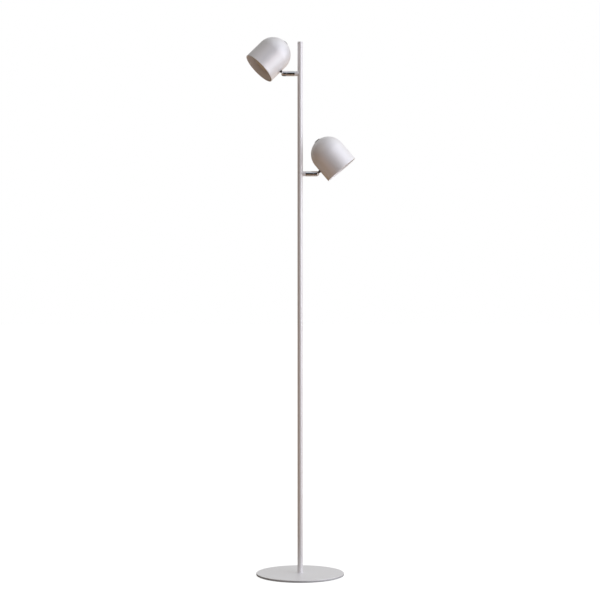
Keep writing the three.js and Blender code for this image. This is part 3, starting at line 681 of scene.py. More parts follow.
def plated(name, metal, roughness, change, rings, lines_depth):
    """Bright plate: patches of haze, faint wheel rings and a few hairlines."""
    material, tree, shader = new_finish(name, roughness, metallic=1.0)
    tone = place_effect(tree, "Patchy tone", color=metal, change=0.02, patch_size=0.012)
    lines = place_effect(tree, "Hairline scratches", length=0.014, fineness=0.0005, amount=0.5)
    wheel = place_effect(tree, "Turned rings", spacing=rings)
    haze = math_step(tree, "MULTIPLY_ADD", tone["Patches"], change, roughness - change / 2)
    rough = math_step(tree, "MULTIPLY_ADD", lines["Lines"], 0.12, haze)
    relief = math_step(tree, "MULTIPLY_ADD", lines["Lines"], -0.6, wheel["Rings"])
    tree.links.new(tone["Color"], shader.inputs["Base Color"])
    tree.links.new(rough, shader.inputs["Roughness"])
    raise_surface(tree, shader, relief, lines_depth)
    return material


def chrome():
    metal = bpy.context.scene.lamp_colours.chrome
    return plated(
        "Polished chrome", metal, roughness=0.05, change=0.03, rings=0.0006, lines_depth=0.0000008
    )


# Painted shade: chrome plate made dark to stand in for the shade and dark reflections on the necks.
def dark_plate():
    metal = bpy.context.scene.lamp_colours.dark_plate
    return plated("Dark nickel", metal, roughness=0.12, change=0.04, rings=0.0006, lines_depth=0.0000008)


def zinc():
    metal = bpy.context.scene.lamp_colours.zinc
    return plated("Zinc plate", metal, roughness=0.34, change=0.16, rings=0.0004, lines_depth=0.000006)


def cast_metal():
    material, tree, shader = new_finish("Cast aluminium", 0.45, metallic=1.0)
    tone = place_effect(
        tree, "Patchy tone", color=bpy.context.scene.lamp_colours.aluminium, change=0.07, patch_size=0.006
    )
    grain = place_effect(
        tree, "Fine grain", grain_size=0.0007, cells=0.3, roughness=0.46, roughness_change=0.3
    )
    tree.links.new(tone["Color"], shader.inputs["Base Color"])
    tree.links.new(grain["Roughness"], shader.inputs["Roughness"])
    raise_surface(tree, shader, grain["Height"], 0.00005)
    return material


def moulded(name, tint, roughness, grain_size, depth, **constants):
    """Moulded plastic or rubber with the stipple of its tool."""
    material, tree, shader = new_finish(name, roughness, **constants)
    tone = place_effect(tree, "Patchy tone", color=tint, change=0.03, patch_size=0.02)
    grain = place_effect(
        tree, "Fine grain",
        grain_size=grain_size, cells=0.35, roughness=roughness, roughness_change=0.18,
    )
    tree.links.new(tone["Color"], shader.inputs["Base Color"])
    tree.links.new(grain["Roughness"], shader.inputs["Roughness"])
    raise_surface(tree, shader, grain["Height"], depth)
    return material


def black_plastic():
    tint = bpy.context.scene.lamp_colours.black
    return moulded("Black plastic", tint, roughness=0.5, grain_size=0.00035, depth=0.000012)


def white_plastic():
    tint = bpy.context.scene.lamp_colours.cream
    return moulded("White plastic", tint, roughness=0.38, grain_size=0.0006, depth=0.000008)


def opal_plastic():
    tint = bpy.context.scene.lamp_colours.opal
    return moulded(
        "Opal plastic", tint, roughness=0.5, grain_size=0.0005, depth=0.000015,
        subsurface_weight=0.25, subsurface_scale=0.004,
    )


def board_coating():
    tint = bpy.context.scene.lamp_colours.board
    return moulded("Board coating", tint, roughness=0.35, grain_size=0.0004, depth=0.000006)


def phosphor():
    tint = bpy.context.scene.lamp_colours.phosphor
    return moulded("Phosphor gel", tint, roughness=0.22, grain_size=0.0003, depth=0.00001)


def rubber():
    tint = bpy.context.scene.lamp_colours.rubber
    return moulded("White rubber", tint, roughness=0.62, grain_size=0.0005, depth=0.00002)


def sheath():
    tint = bpy.context.scene.lamp_colours.sheath
    return moulded("Lead sheath", tint, roughness=0.45, grain_size=0.0007, depth=0.00001)


def foam():
    """Closed-cell foam: small pits over the whole face."""
    material, tree, shader = new_finish("Black foam", 0.92)
    tone = place_effect(
        tree, "Patchy tone", color=bpy.context.scene.lamp_colours.foam, change=0.12, patch_size=0.01
    )
    grain = place_effect(
        tree, "Fine grain", grain_size=0.0009, cells=1.0, roughness=0.9, roughness_change=0.1
    )
    tree.links.new(tone["Color"], shader.inputs["Base Color"])
    tree.links.new(grain["Roughness"], shader.inputs["Roughness"])
    raise_surface(tree, shader, grain["Height"], 0.00025)
    return material


FINISHES = {
    "white_paint": white_paint,
    "lining": lining_paint,
    "chrome": chrome,
    "dark_plate": dark_plate,
    "zinc_steel": zinc,
    "cast_aluminium": cast_metal,
    "black_plastic": black_plastic,
    "white_plastic": white_plastic,
    "opal_plastic": opal_plastic,
    "board_white": board_coating,
    "phosphor": phosphor,
    "foam_pad": foam,
    "white_rubber": rubber,
    "lead_sheath": sheath,
}


def finish(name):
    """The material of a finish, made the first time it is asked for."""
    known = bpy.data.materials.get(name)
    if known is None:
        known = FINISHES[name]()
        known.name = name
    return known


# ---------------------------------------------------------------- stand


# Radii of the rings pressed into the foam pad, as shares of its own.
PAD_RINGS = (0.35, 0.62, 0.89)

# Rings of a tube's mesh lie this many hole radii above and below a drilled hole's middle.
RING_CLEARANCE = 1.6


class LAMP_OT_base(bpy.types.Operator):
    """Turn the base plate and the foam pad under it"""

    bl_idname = "lamp.base"
    bl_label = "Base"

    def execute(self, context):
        sizes = context.scene.lamp_stand
        facets = context.scene.lamp_smoothness.shade_facets
        radius, low, top = radius_and_heights("base_plate", ALONG_Z)
        seat_top = low + sizes.screw_seat_depth
        plate = turned(eased([
            (sizes.screw_seat, low),
            (radius, low, sizes.plate_low_edge),
            (radius, top, sizes.plate_top_edge),
            (sizes.screw_hole, top),
            (sizes.screw_hole, seat_top),
            (sizes.screw_seat, seat_top),
        ], steps=5), facets)
        add_piece("base_plate", plate, ALONG_Z, "stand", [finish("white_paint")])

        pad_radius, pad_low, pad_top = radius_and_heights("base_pad", ALONG_Z)
        groove = sizes.pad_groove
        edge = (pad_top - pad_low) / 4
        outline = [(0, pad_low)]
        for share in PAD_RINGS:
            middle = pad_radius * share
            outline += [
                (middle - groove, pad_low, edge / 2),
                (middle - groove / 2, pad_low + 2 * edge, edge / 2),
                (middle + groove / 2, pad_low + 2 * edge, edge / 2),
                (middle + groove, pad_low, edge / 2),
            ]
        outline += [(pad_radius, pad_low, edge), (pad_radius, pad_top, edge), (0, pad_top)]
        pad = turned(eased(outline, steps=2), facets, closed=False)
        add_piece("base_pad", pad, ALONG_Z, "stand", [finish("foam_pad")])
        return {"FINISHED"}


class LAMP_OT_pole(bpy.types.Operator):
    """Turn the pole's three tubes, its cap and the cable gland at its foot"""

    bl_idname = "lamp.pole"
    bl_label = "Pole"

    def execute(self, context):
        scene = context.scene
        sizes = scene.lamp_stand
        facets = scene.lamp_smoothness.tube_facets
        small = scene.lamp_smoothness.small_facets
        radius = pole_radius()
        bore = radius - sizes.pole_wall
        gland_low, gland_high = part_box("cable_gland")
        gland_level = (gland_low.z + gland_high.z) / 2
        gland_place = Matrix.Translation((0, 0, gland_level)) @ ALONG_Y

        holes = {"pole_lower": [(gland_place, sizes.gland_sleeve + sizes.sleeve_fit)]}
        holes["pole_middle"] = []
        holes["pole_upper"] = [
            (mount_place(side) @ ALONG_X, scene.lamp_arm.nipple_hole) for side in SIDES
        ]
        for name, bores in holes.items():
            low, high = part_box(name)
            levels = sorted(
                place.translation.z + RING_CLEARANCE * hole * way for place, hole in bores for way in (-1, 1)
            )
            outline = eased([
                (bore, low.z, sizes.tube_edge),
                (radius, low.z, sizes.tube_edge),
                *[(radius, level) for level in levels],
                (radius, high.z, sizes.tube_edge),
                (bore, high.z, sizes.tube_edge),
                *[(bore, level) for level in reversed(levels)],
            ], steps=3)
            tube = turned(outline, facets)
            drills = [laid(rod(hole, 0, 2 * radius, small), place) for place, hole in bores]
            if drills:
                tube = cut(tube, *drills)
            add_piece(name, tube, ALONG_Z, "stand", [finish("white_paint")])

        cap_low, cap_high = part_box("pole_cap")
        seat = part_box("pole_upper")[1].z
        spigot = bore - sizes.sleeve_fit
        cap = turned(eased([
            (0, cap_low.z),
            (spigot, cap_low.z, sizes.cap_edge),
            (spigot, seat),
            (radius, seat, sizes.tube_edge),
            (radius, cap_high.z - sizes.cap_crown, sizes.cap_edge),
            (0, cap_high.z),
        ], steps=5), facets, closed=False)
        add_piece("pole_cap", cap, ALONG_Z, "stand", [finish("white_paint")])

        flange = (gland_high.x - gland_low.x) / 2
        outer = gland_high.y
        inner = gland_low.y
        gland = turned(eased([
            (sizes.gland_bore, inner),
            (sizes.gland_bore, outer, sizes.gland_edge / 2),
            (flange, outer, sizes.gland_edge),
            (flange, ON_POLE),
            (sizes.gland_sleeve, ON_POLE),
            (sizes.gland_sleeve, inner),
        ], steps=4), small)
        add_piece("cable_gland", gland, gland_place, "stand", [finish("white_rubber")])
        return {"FINISHED"}


class LAMP_OT_bosses(bpy.types.Operator):
    """Turn the painted bosses that seat the arms on the pole"""

    bl_idname = "lamp.bosses"
    bl_label = "Bosses"

    def execute(self, context):
        sizes = context.scene.lamp_arm
        facets = context.scene.lamp_smoothness.tube_facets
        for side in SIDES:
            name = f"boss_{side}"
            place = mount_place(side)
            low, high = extent(name, place)
            radius = (high.y - low.y) / 2
            boss = turned(eased([
                (sizes.nipple_hole, ON_POLE),
                (radius, ON_POLE),
                (radius, high.x, sizes.boss_edge),
                (sizes.nipple_hole, high.x),
            ], steps=5), facets)
            add_piece(name, boss, place @ ALONG_X, "stand", [finish("white_paint")])
        return {"FINISHED"}


# ---------------------------------------------------------------- arms and necks


class LAMP_OT_arms(bpy.types.Operator):
    """Turn each arm's barrel, slot its knuckle and fit the pivot pin"""

    bl_idname = "lamp.arms"
    bl_label = "Arms"

    def execute(self, context):
        scene = context.scene
        sizes = scene.lamp_arm
        facets = scene.lamp_smoothness.tube_facets
        small = scene.lamp_smoothness.small_facets
        plate = [finish("chrome")]
        for side in SIDES:
            place = arm_place(side)
            body = f"arm_{side}"
            low, high = extent(f"barrel_{side}", place)
            radius = (high.y - low.y) / 2
            bore = radius - sizes.barrel_wall
            end_wall = low.x + sizes.barrel_end_wall
            barrel = turned(eased([
                (sizes.nipple_hole, low.x),
                (radius, low.x, sizes.barrel_edge),
                (radius, high.x, sizes.seam_edge),
                (bore, high.x, sizes.seam_edge),
                (bore, end_wall),
                (sizes.nipple_hole, end_wall),
            ], steps=5), facets)
            add_piece(f"barrel_{side}", barrel, place @ ALONG_X, body, plate)

            low, high = extent(f"knuckle_{side}", place)
            pin = high.x - radius
            shoulder = pin - sizes.knuckle_body
            spigot = bore - sizes.seam_edge
            way_end = pin - sizes.slot_depth + sizes.barrel_wall
            nose = arc(pin, radius, 0, math.pi / 2, scene.lamp_smoothness.dome_steps)
            knuckle = turned(eased([
                (0, way_end),
                (sizes.knuckle_bore, way_end),
                (sizes.knuckle_bore, low.x),
                (spigot, low.x, sizes.seam_edge),
                (spigot, shoulder),
                (radius, shoulder, sizes.seam_edge),
                *nose[:-1],
                (0, high.x),
            ], steps=5), facets, closed=False)
            half = sizes.slot_width / 2
            slot = laid(
                block((pin - sizes.slot_depth, -half, -2 * radius), (pin + 2 * radius, half, 2 * radius)),
                ALONG_X.inverted(),
            )
            bar = rod(sizes.pin_hole, -2 * radius, 2 * radius, small)
            hole = laid(bar, ALONG_X.inverted() @ Matrix.Translation((pin, 0, 0)) @ ALONG_Y)
            knuckle = cut(knuckle, slot, hole)
            add_piece(
                f"knuckle_{side}", knuckle, place @ ALONG_X, body, plate,
                soften=sizes.worked_edge,
            )

            low, high = extent(f"pivot_pin_{side}", place)
            pin_place = place @ Matrix.Translation((pin, 0, 0)) @ ALONG_Y
            pin_radius = (high.x - low.x) / 2
            shank = turned(eased([
                (0, low.y),
                (pin_radius, low.y, sizes.pin_edge),
                (pin_radius, high.y, sizes.pin_edge),
                (0, high.y),
            ], steps=4), small, closed=False)
            corner = sizes.pin_socket / math.sqrt(3)
            sockets = [
                rod(corner, low.y - sizes.pin_edge, low.y + sizes.pin_socket_depth, 6),
                rod(corner, high.y - sizes.pin_socket_depth, high.y + sizes.pin_edge, 6),
            ]
            add_piece(f"pivot_pin_{side}", cut(shank, *sockets), pin_place, body, plate)
        return {"FINISHED"}


class LAMP_OT_necks(bpy.types.Operator):
    """Join tongue, bar, collar and stud into each neck"""

    bl_idname = "lamp.necks"
    bl_label = "Necks"

    def execute(self, context):
        scene = context.scene
        sizes = scene.lamp_arm
        facets = scene.lamp_smoothness.tube_facets
        small = scene.lamp_smoothness.small_facets
        to_turning = ALONG_X.inverted()
        for side in SIDES:
            name = f"neck_{side}"
            place = neck_place(side)
            high = extent(name, place)[1]
            tongue_low = -sizes.slot_width / 2 + sizes.tongue_gap
            tongue_high = tongue_low + sizes.tongue_thickness
            post = turned(eased([
                (0, sizes.collar_start),
                (sizes.collar_radius, sizes.collar_start, sizes.worked_edge),
                (sizes.collar_radius, sizes.collar_end, sizes.worked_edge),
                (sizes.stud_radius, sizes.collar_end),
                (sizes.stud_radius, high.x, sizes.worked_edge),
                (0, high.x),
            ], steps=4), facets, closed=False)
            tongue = laid(rod(sizes.tongue_radius, tongue_low, tongue_high, facets), to_turning @ ALONG_Y)
            half = sizes.tongue_bar / 2
            bar = laid(
                block((0, tongue_low, -half), (sizes.collar_start + sizes.worked_edge, tongue_high, half)),
                to_turning,
            )
            hole = laid(rod(sizes.pin_hole, -2 * half, 2 * half, small), to_turning @ ALONG_Y)
            way = rod(sizes.stud_bore, sizes.collar_start, 2 * high.x, small)
            neck = cut(joined(post, tongue, bar), hole, way)
            # The neck's finish is chrome darkened as painted shade and painted dark reflections.
            add_piece(
                name, neck, place @ ALONG_X, f"head_{side}", [finish("dark_plate")],
                soften=sizes.worked_edge,
            )
        return {"FINISHED"}


# ---------------------------------------------------------------- heads


# Where the outline of a dish has its points, as shares of its radius from the middle out.
DIFFUSER_DISH = (0.0, 0.2, 0.4, 0.6, 0.8, 1.0)
BUTTON_DISH = (0.0, 0.25, 0.4, 0.55, 0.7, 0.85)

# The dish in a button's top, as a share of the button's radius.
DISH_SHARE = 0.72

# The reflector's wall: how many steps it has, and how far it bends from a plain cone (1).
REFLECTOR_STEPS = 12
REFLECTOR_BEND = 1.25


def dished(radius, level, depth, shares):
    """Outline points from the middle to the rim of a dish, whose rim is at the level."""
    return [(radius * share, level + depth * (1 - share**2)) for share in shares]


class LAMP_OT_shades(bpy.types.Operator):
    """Spin the domed shades, painted outside and lined inside"""

    bl_idname = "lamp.shades"
    bl_label = "Shades"

    def execute(self, context):
        scene = context.scene
        sizes = scene.lamp_head
        smooth = scene.lamp_smoothness
        for side in SIDES:
            name = f"shade_{side}"
            place = head_place(side)
            radius, mouth, apex = radius_and_heights(name, place)
            bore = radius - sizes.shade_wall
            dome = apex - math.sqrt(radius**2 - sizes.apex_flat**2)
            outer_end = math.acos(sizes.apex_flat / radius)
            inner_end = math.acos(sizes.apex_flat / bore)
            neck_ring = 2 * scene.lamp_arm.stud_radius
            outside = [
                (radius, mouth, sizes.rim_edge),
                (radius, -neck_ring),
                (radius, neck_ring),
                *arc(dome, radius, 0, outer_end, smooth.dome_steps),
                (sizes.switch_hole, apex, sizes.rim_edge / 3),
            ]
            inside = [
                (sizes.switch_hole, apex - sizes.shade_wall),
                *reversed(arc(dome, bore, 0, inner_end, smooth.dome_steps)),
                (bore, neck_ring),
                (bore, -neck_ring),
                (bore, mouth, sizes.rim_edge),
            ]
            outline = eased(outside + inside, steps=6)
            turning_point = len(eased(outside, steps=6))
            last = len(outline) - 7
            shell = turned(
                outline, smooth.shade_facets,
                zone_of=lambda number: 1 if turning_point <= number < last else 0,
            )
            stud_hole = scene.lamp_arm.stud_radius + scene.lamp_arm.stud_fit
            hole = laid(rod(stud_hole, -radius - stud_hole, -bore + stud_hole, smooth.small_facets), ALONG_X)
            shell = cut(shell, hole)
            add_piece(
                name, shell, place, f"head_{side}",
                [finish("white_paint"), finish("lining")],
            )
        return {"FINISHED"}


class LAMP_OT_light_units(bpy.types.Operator):
    """Make each head's retaining ring, diffuser, reflector and emitter board"""

    bl_idname = "lamp.light_units"
    bl_label = "Light units"

    def execute(self, context):
        scene = context.scene
        sizes = scene.lamp_head
        facets = scene.lamp_smoothness.shade_facets
        for side in SIDES:
            place = head_place(side)
            body = f"head_{side}"
            radius, low, high = radius_and_heights(f"retaining_ring_{side}", place)
            ring = turned(eased([
                (radius - sizes.ring_width, low, sizes.ring_edge),
                (radius, low, sizes.ring_edge),
                (radius, high, sizes.ring_edge),
                (radius - sizes.ring_width, high, sizes.ring_edge),
            ], steps=4), facets)
            add_piece(
                f"retaining_ring_{side}", ring, place, body, [finish("white_plastic")]
            )

            radius, low, high = radius_and_heights(f"diffuser_{side}", place)
            face = radius - sizes.ring_width
            lens = turned(eased([
                *dished(face, low, sizes.diffuser_crown, DIFFUSER_DISH),
                (radius, low, sizes.diffuser_edge),
                (radius, high, sizes.diffuser_edge),
                (0, high),
            ], steps=4), facets, closed=False)
            add_piece(f"diffuser_{side}", lens, place, body, [finish("opal_plastic")])

            radius, low, high = radius_and_heights(f"reflector_{side}", place)
            wall = sizes.reflector_wall
            mouth = radius - sizes.reflector_flange
            throat = sizes.reflector_throat
            curve = [
                (throat + (mouth - throat) * share, high - (high - low - wall) * share**REFLECTOR_BEND)
                for share in [step / REFLECTOR_STEPS for step in range(1, REFLECTOR_STEPS)]
            ]
            cone = turned(eased([
                (mouth - wall, low),
                (radius, low, wall / 4),
                (radius, low + wall, wall / 4),
                (mouth, low + wall),
                *reversed(curve),
                (throat, high),
                (throat - wall / 2, high - wall / 2),
                *[(across - wall, level - wall / 2) for across, level in curve],
            ], steps=3), facets)
            add_piece(
                f"reflector_{side}", cone, place, body, [finish("white_plastic")]
            )

            radius, low, high = radius_and_heights(f"led_board_{side}", place)
            dam = sizes.emitter_height
            board_low = low + dam
            board_outline = eased([
                (0, low + dam / 2),
                (sizes.emitter_radius, low + dam / 2),
                (sizes.emitter_radius, low, dam / 4),
                (sizes.emitter_dam, low, dam / 4),
                (sizes.emitter_dam, board_low),
                (radius, board_low, dam / 4),
                (radius, high, dam / 4),
                (0, high),
            ], steps=3)
            board = turned(
                board_outline, facets, closed=False, zone_of=lambda number: 1 if number == 0 else 0
            )
            add_piece(
                f"led_board_{side}", board, place, body,
                [finish("board_white"), finish("phosphor")],
            )
        return {"FINISHED"}


class LAMP_OT_switches(bpy.types.Operator):
    """Turn each dome's switch, its bezel and its push button"""

    bl_idname = "lamp.switches"
    bl_label = "Switches"

    def execute(self, context):
        scene = context.scene
        sizes = scene.lamp_head
        facets = scene.lamp_smoothness.tube_facets
        black = [finish("black_plastic")]
        for side in SIDES:
            place = head_place(side)
            body = f"head_{side}"
            shoulder, low, high = radius_and_heights(f"switch_body_{side}", place)
            shoulder_top = high - sizes.bushing_low
            shoulder_low = shoulder_top - sizes.switch_shoulder_height
            well = extent(f"button_{side}", place)[0].z - sizes.well_floor
            case = turned(eased([
                (0, low),
                (sizes.switch_body, low, sizes.switch_edge),
                (sizes.switch_body, shoulder_low),
                (shoulder, shoulder_low, sizes.switch_edge),
                (shoulder, shoulder_top, sizes.switch_edge),
                (sizes.bushing_radius, shoulder_top),
                (sizes.bushing_radius, high, sizes.switch_edge),
                (sizes.bushing_bore, high, sizes.switch_edge),
                (sizes.bushing_bore, well),
                (0, well),
            ], steps=3), facets, closed=False)
            add_piece(f"switch_body_{side}", case, place, body, black)

            radius, low, high = radius_and_heights(f"switch_bezel_{side}", place)
            dome_top = radius_and_heights(f"shade_{side}", place)[2]
            bezel = turned(eased([
                (sizes.switch_hole, dome_top),
                (radius, dome_top),
                (radius, high, sizes.bezel_edge),
                (sizes.switch_hole, high, sizes.bezel_edge / 2),
            ], steps=5), facets)
            add_piece(f"switch_bezel_{side}", bezel, place, body, black)

            radius, low, high = radius_and_heights(f"button_{side}", place)
            rim = radius * DISH_SHARE
            button = turned(eased([
                (0, low),
                (radius, low, sizes.button_edge / 2),
                (radius, high, sizes.button_edge),
                (rim, high, sizes.button_edge / 2),
                *reversed(dished(rim, high, -sizes.button_dish, BUTTON_DISH)),
            ], steps=5), facets, closed=False)
            add_piece(f"button_{side}", button, place, f"button_{side}", black)
        return {"FINISHED"}


# ---------------------------------------------------------------- inner parts


# Split edges of an inner part are closed when their points are this close, in metres.
WELD = 0.000005
# Edges of an inner part that turn by more than this are creased, and by more than this broken.
CREASE_TURN = math.radians(33)
BROKEN_TURN = math.radians(50)
# How far those are broken, as a share of the worked edge of the arms.
BROKEN_SHARE = 0.75


def soft_shading():
    """A mesh step that closes split edges and shades round faces smooth."""
    group = bpy.data.node_groups.new("Soft shading", "GeometryNodeTree")
    group.is_modifier = True
    group.interface.new_socket("Geometry", in_out="INPUT", socket_type="NodeSocketGeometry")
    group.interface.new_socket("Geometry", in_out="OUTPUT", socket_type="NodeSocketGeometry")
    start = group.nodes.new("NodeGroupInput").outputs["Geometry"]
    end = group.nodes.new("NodeGroupOutput").inputs["Geometry"]
    merge = add_node(group, "GeometryNodeMergeByDistance", {"Geometry": start, "Distance": WELD})
    smooth = add_node(
        group, "GeometryNodeSetShadeSmooth", {0: merge.outputs[0], "Shade Smooth": True}, domain="FACE"
    )
    angle = add_node(group, "GeometryNodeInputMeshEdgeAngle").outputs["Unsigned Angle"]
    steep = add_node(
        group, "FunctionNodeCompare", {0: angle, 1: CREASE_TURN},
        data_type="FLOAT", operation="GREATER_THAN",
    )
    crease = add_node(
        group, "GeometryNodeSetShadeSmooth",
        {0: smooth.outputs[0], "Selection": steep.outputs[0], "Shade Smooth": False},
        domain="EDGE",
    )
    group.links.new(crease.outputs[0], end)
    return group


INNER_PARTS = {
    "zinc_steel": [
        "foot_screw", "foot_insert", "coupler_lower", "coupler_upper",
        *[
            f"{part}_{side}"
            for part in (
                "nipple", "saddle_nut", "swivel_washer", "swivel_nut", "tilt_washer", "neck_nut", "bracket"
            )
            for side in SIDES
        ],
    ],
    "cast_aluminium": [f"heat_sink_{side}" for side in SIDES],
    "lead_sheath": [f"{part}_{side}" for part in ("pole_lead", "head_lead", "led_lead") for side in SIDES],
}


class LAMP_OT_inner_parts(bpy.types.Operator):
    """Give the fixings, leads, brackets and heat sinks their finish and soft edges"""

    bl_idname = "lamp.inner_parts"
    bl_label = "Inner parts"

    def execute(self, context):
        shading = soft_shading()
        for name, nodes in INNER_PARTS.items():
            for node in nodes:
                part = frame["nodes"][node]
                part.data.materials.clear()
                part.data.materials.append(finish(name))
                part.modifiers.new("Soft shading", "NODES").node_group = shading
                if name == "lead_sheath":
                    continue
                edges = part.modifiers.new("Broken edges", "BEVEL")
                edges.width = context.scene.lamp_arm.worked_edge * BROKEN_SHARE
                edges.segments = 2
                edges.limit_method = "ANGLE"
                edges.angle_limit = BROKEN_TURN
        return {"FINISHED"}


# ---------------------------------------------------------------- studio


def soft_glow(tree, direction, centre, tint):
    """Light in the colour of tint that comes from round one direction and fades away from it."""
    facing = add_node(
        tree, "ShaderNodeVectorMath", {0: direction, 1: centre}, operation="DOT_PRODUCT"
    )
    fade = add_node(
        tree, "ShaderNodeMapRange",
        {"Value": facing.outputs["Value"], "From Min": GLOW_EDGE, "From Max": 1.0},
        interpolation_type="SMOOTHSTEP",
    )
    glow = add_node(
        tree, "ShaderNodeVectorMath", {0: tuple(tint), "Scale": fade.outputs["Result"]}, operation="SCALE"
    )
    return glow.outputs[0]


# Where each glow of the studio comes from, as turn from the front and height in degrees.
GLOWS = (
    (180, 45, "high_behind"),
    (180, 8, "low_behind"),
    (135, 45, "behind_right"),
    (-45, 45, "high_left"),
    (-45, 8, "low_left"),
    (45, 45, "high_front"),
    (90, 45, "high_right"),
    (80, 8, "right_side"),
)
# Cosine of the angle from a glow's middle at which it has faded away.
GLOW_EDGE = 0.45

# The dark patch of the room round the camera: its height in degrees, and the cosines of the
# angles from its middle at which it begins and is darkest.
DARK_HEIGHT = 4
DARK_EDGES = (0.8, 0.97)

# Each softbox: its place, width, height, share of the power and colour.
SOFTBOXES = (
    ("side_softbox", (2.38, -0.77, 0.9), 2.2, 1.8, 0.060, (0.96, 0.92, 1.0)),
    ("strip_softbox", (2.38, -0.77, 0.9), 0.15, 0.8, 0.110, (0.8, 0.92, 1.0)),
    ("front_softbox", (1.7, -1.8, 1.3), 2.0, 1.8, 0.190, (0.98, 0.88, 0.84)),
    ("high_softbox", (2.2, -0.7, 2.2), 2.4, 2.0, 0.100, (0.8, 0.84, 1.0)),
)


def aim(turn, height):
    """The direction of a place seen from the lamp, in degrees from the front and from level."""
    across = math.radians(turn)
    up = math.radians(height)
    return Vector((math.sin(across) * math.cos(up), -math.cos(across) * math.cos(up), math.sin(up)))


# The floor's radius and its depth under the lamp's foot, in metres.
FLOOR_RADIUS = 40.0
FLOOR_DEPTH = 0.0002

# How the floor looks: what it gives of itself, and what it adds under the studio's light.
FLOOR_GLOW = (0.86, 0.86, 0.86, 1)
FLOOR_TONE = (0.32, 0.32, 0.32, 1)

# Where each zone of the floor starts and is whole, in metres across or away from the camera.
NEAR_ZONE = (-3.2, -1.6)
FAR_ZONE = (-1.0, 0.2)
RIGHT_ZONE = (-0.6, 0.6)
FRONT_RIGHT_ZONE = (0.3, 1.2)

# The light that the floor throws back is darkened round the base as a painted contact shadow, out to this
# many of the base's radii.
CONTACT_SHADOW_REACH = 3


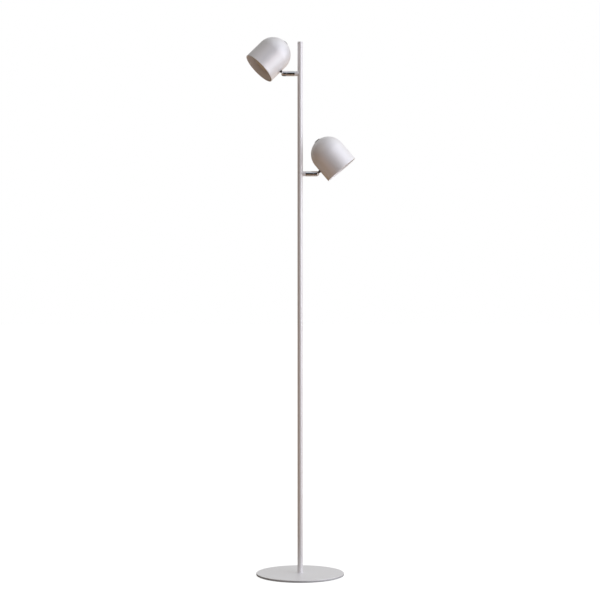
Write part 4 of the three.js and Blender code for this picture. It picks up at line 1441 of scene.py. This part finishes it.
class LAMP_OT_stage(bpy.types.Operator):
    """Set the pale floor, the studio light and the camera"""

    bl_idname = "lamp.stage"
    bl_label = "Stage"

    def execute(self, context):
        scene = context.scene
        stage = scene.lamp_stage
        scene.view_settings.view_transform = "Standard"
        scene.view_settings.look = "None"
        self.add_floor(scene, stage)
        self.add_world(scene, stage)
        self.add_softboxes(scene, stage)
        self.add_camera(scene, stage)
        return {"FINISHED"}

    def add_floor(self, scene, stage):
        build = bmesh.new()
        bmesh.ops.create_circle(build, cap_ends=True, segments=96, radius=FLOOR_RADIUS)
        for vertex in build.verts:
            vertex.co.z = CAD_BOX[0].z - FLOOR_DEPTH
        floor = bpy.data.objects.new("floor", mesh_from(build))
        scene.collection.objects.link(floor)
        material = bpy.data.materials.new("Pale floor")
        material.use_nodes = True
        tree = material.node_tree
        tree.nodes.remove(tree.nodes["Principled BSDF"])
        seen = add_node(tree, "ShaderNodeLightPath").outputs["Is Camera Ray"]
        point = add_node(tree, "ShaderNodeSeparateXYZ", {0: surface_point(tree)})
        near = self.fade(tree, point.outputs["Y"], *NEAR_ZONE)
        behind = self.fade(tree, point.outputs["Y"], *FAR_ZONE)
        right = self.fade(tree, point.outputs["X"], *RIGHT_ZONE)
        near_left = math_step(tree, "MULTIPLY", near, math_step(tree, "SUBTRACT", 1.0, right))
        front_left = add_node(
            tree, "ShaderNodeVectorMath", {0: tuple(stage.near_floor), "Scale": near_left},
            operation="SCALE",
        )
        front = add_node(
            tree, "ShaderNodeMix",
            {
                0: self.fade(tree, point.outputs["X"], *FRONT_RIGHT_ZONE),
                6: front_left.outputs[0],
                7: (*stage.front_right_floor, 1),
            },
            data_type="RGBA",
        )
        back = add_node(
            tree, "ShaderNodeMix",
            {0: right, 6: (*stage.left_floor, 1), 7: (*stage.right_floor, 1)}, data_type="RGBA",
        )
        bounce = add_node(
            tree, "ShaderNodeMix", {0: behind, 6: front.outputs[2], 7: back.outputs[2]},
            data_type="RGBA",
        )
        reach = add_node(
            tree, "ShaderNodeVectorMath", {0: surface_point(tree)}, operation="LENGTH"
        ).outputs["Value"]
        plate = (CAD_BOX[1].y - CAD_BOX[0].y) / 2
        # Painted contact shadow: the floor's thrown light fades to nothing at the base's edge.
        clear = self.fade(tree, reach, plate, CONTACT_SHADOW_REACH * plate)
        thrown = add_node(tree, "ShaderNodeEmission", {"Color": bounce.outputs[2], "Strength": clear})
        glow = add_node(tree, "ShaderNodeEmission", {"Color": FLOOR_GLOW})
        matt = add_node(tree, "ShaderNodeBsdfDiffuse", {"Color": FLOOR_TONE})
        pale = add_node(tree, "ShaderNodeAddShader", {0: glow.outputs[0], 1: matt.outputs[0]})
        whole = add_node(tree, "ShaderNodeMixShader", {0: seen, 1: thrown.outputs[0], 2: pale.outputs[0]})
        tree.links.new(whole.outputs[0], tree.nodes["Material Output"].inputs["Surface"])
        floor.data.materials.append(material)

    def fade(self, tree, value, start, end):
        """From 0 to 1 as the value goes from start to end."""
        made = add_node(
            tree, "ShaderNodeMapRange", {"Value": value, "From Min": start, "From Max": end},
            interpolation_type="SMOOTHSTEP",
        )
        return made.outputs["Result"]

    def add_world(self, scene, stage):
        world = bpy.data.worlds.new("Studio")
        world.use_nodes = True
        scene.world = world
        tree = world.node_tree
        direction = add_node(tree, "ShaderNodeTexCoord").outputs["Generated"]
        total = None
        for turn, height, setting in GLOWS:
            glow = soft_glow(tree, direction, aim(turn, height), getattr(stage, setting))
            if total is None:
                total = glow
                continue
            added = add_node(tree, "ShaderNodeVectorMath", {0: total, 1: glow}, operation="ADD")
            total = added.outputs[0]
        facing = add_node(
            tree, "ShaderNodeVectorMath", {0: direction, 1: aim(0, DARK_HEIGHT)}, operation="DOT_PRODUCT"
        )
        dark_front = add_node(
            tree, "ShaderNodeMapRange",
            {
                "Value": facing.outputs["Value"],
                "From Min": DARK_EDGES[0], "From Max": DARK_EDGES[1],
                "To Min": 1.0, "To Max": stage.dark_front,
            },
            interpolation_type="SMOOTHSTEP",
        )
        room = add_node(
            tree, "ShaderNodeVectorMath", {0: total, "Scale": dark_front.outputs["Result"]},
            operation="SCALE",
        )
        seen = add_node(tree, "ShaderNodeLightPath").outputs["Is Camera Ray"]
        colour_seen = add_node(
            tree, "ShaderNodeMix", {0: seen, 6: room.outputs[0], 7: (1, 1, 1, 1)}, data_type="RGBA"
        )
        tree.links.new(colour_seen.outputs[2], tree.nodes["Background"].inputs["Color"])

    def add_softboxes(self, scene, stage):
        middle = (CAD_BOX[0] + CAD_BOX[1]) / 2
        for name, place, width, height, share, tint in SOFTBOXES:
            light = bpy.data.lights.new(name, "AREA")
            light.shape = "RECTANGLE"
            light.size = width
            light.size_y = height
            light.energy = stage.softbox_power * share
            light.color = tint
            softbox = bpy.data.objects.new(name, light)
            scene.collection.objects.link(softbox)
            softbox.location = place
            towards = Vector((0, 0, middle.z)) - softbox.location
            softbox.rotation_euler = towards.to_track_quat("-Z", "Y").to_euler()

    def add_camera(self, scene, stage):
        data = bpy.data.cameras.new("Camera")
        data.lens = stage.camera_lens
        data.sensor_width = 36.0
        data.clip_start = 0.1
        data.clip_end = 120.0
        camera = bpy.data.objects.new("Camera", data)
        scene.collection.objects.link(camera)
        camera.location = (stage.camera_side, -stage.camera_distance, stage.camera_height)
        camera.rotation_euler = (math.pi / 2, 0, 0)
        scene.camera = camera


# ---------------------------------------------------------------- add-on


OPERATORS = (
    LAMP_OT_base,
    LAMP_OT_pole,
    LAMP_OT_bosses,
    LAMP_OT_arms,
    LAMP_OT_necks,
    LAMP_OT_shades,
    LAMP_OT_light_units,
    LAMP_OT_switches,
    LAMP_OT_inner_parts,
    LAMP_OT_stage,
)


class LAMP_PT_panel(bpy.types.Panel):
    """Lists the lamp's settings and the steps that build it"""

    bl_idname = "LAMP_PT_panel"
    bl_label = "Floor lamp"
    bl_space_type = "VIEW_3D"
    bl_region_type = "UI"
    bl_category = "Lamp"

    def draw(self, context):
        for operator in OPERATORS:
            self.layout.operator(operator.bl_idname)
        for name, group in SETTINGS.items():
            box = self.layout.box()
            box.label(text=name.replace("_", " ").capitalize())
            for setting in group.__annotations__:
                box.prop(getattr(context.scene, name), setting)


CLASSES = (*SETTINGS.values(), *OPERATORS, LAMP_PT_panel)


def register():
    for entry in CLASSES:
        bpy.utils.register_class(entry)
    for name, group in SETTINGS.items():
        setattr(bpy.types.Scene, name, PointerProperty(type=group))


def unregister():
    for name in SETTINGS:
        delattr(bpy.types.Scene, name)
    for entry in reversed(CLASSES):
        bpy.utils.unregister_class(entry)


def main():
    register()
    bpy.ops.lamp.base()
    bpy.ops.lamp.pole()
    bpy.ops.lamp.bosses()
    bpy.ops.lamp.arms()
    bpy.ops.lamp.necks()
    bpy.ops.lamp.shades()
    bpy.ops.lamp.light_units()
    bpy.ops.lamp.switches()
    bpy.ops.lamp.inner_parts()
    bpy.ops.lamp.stage()


if __name__ == "__main__":
    main()
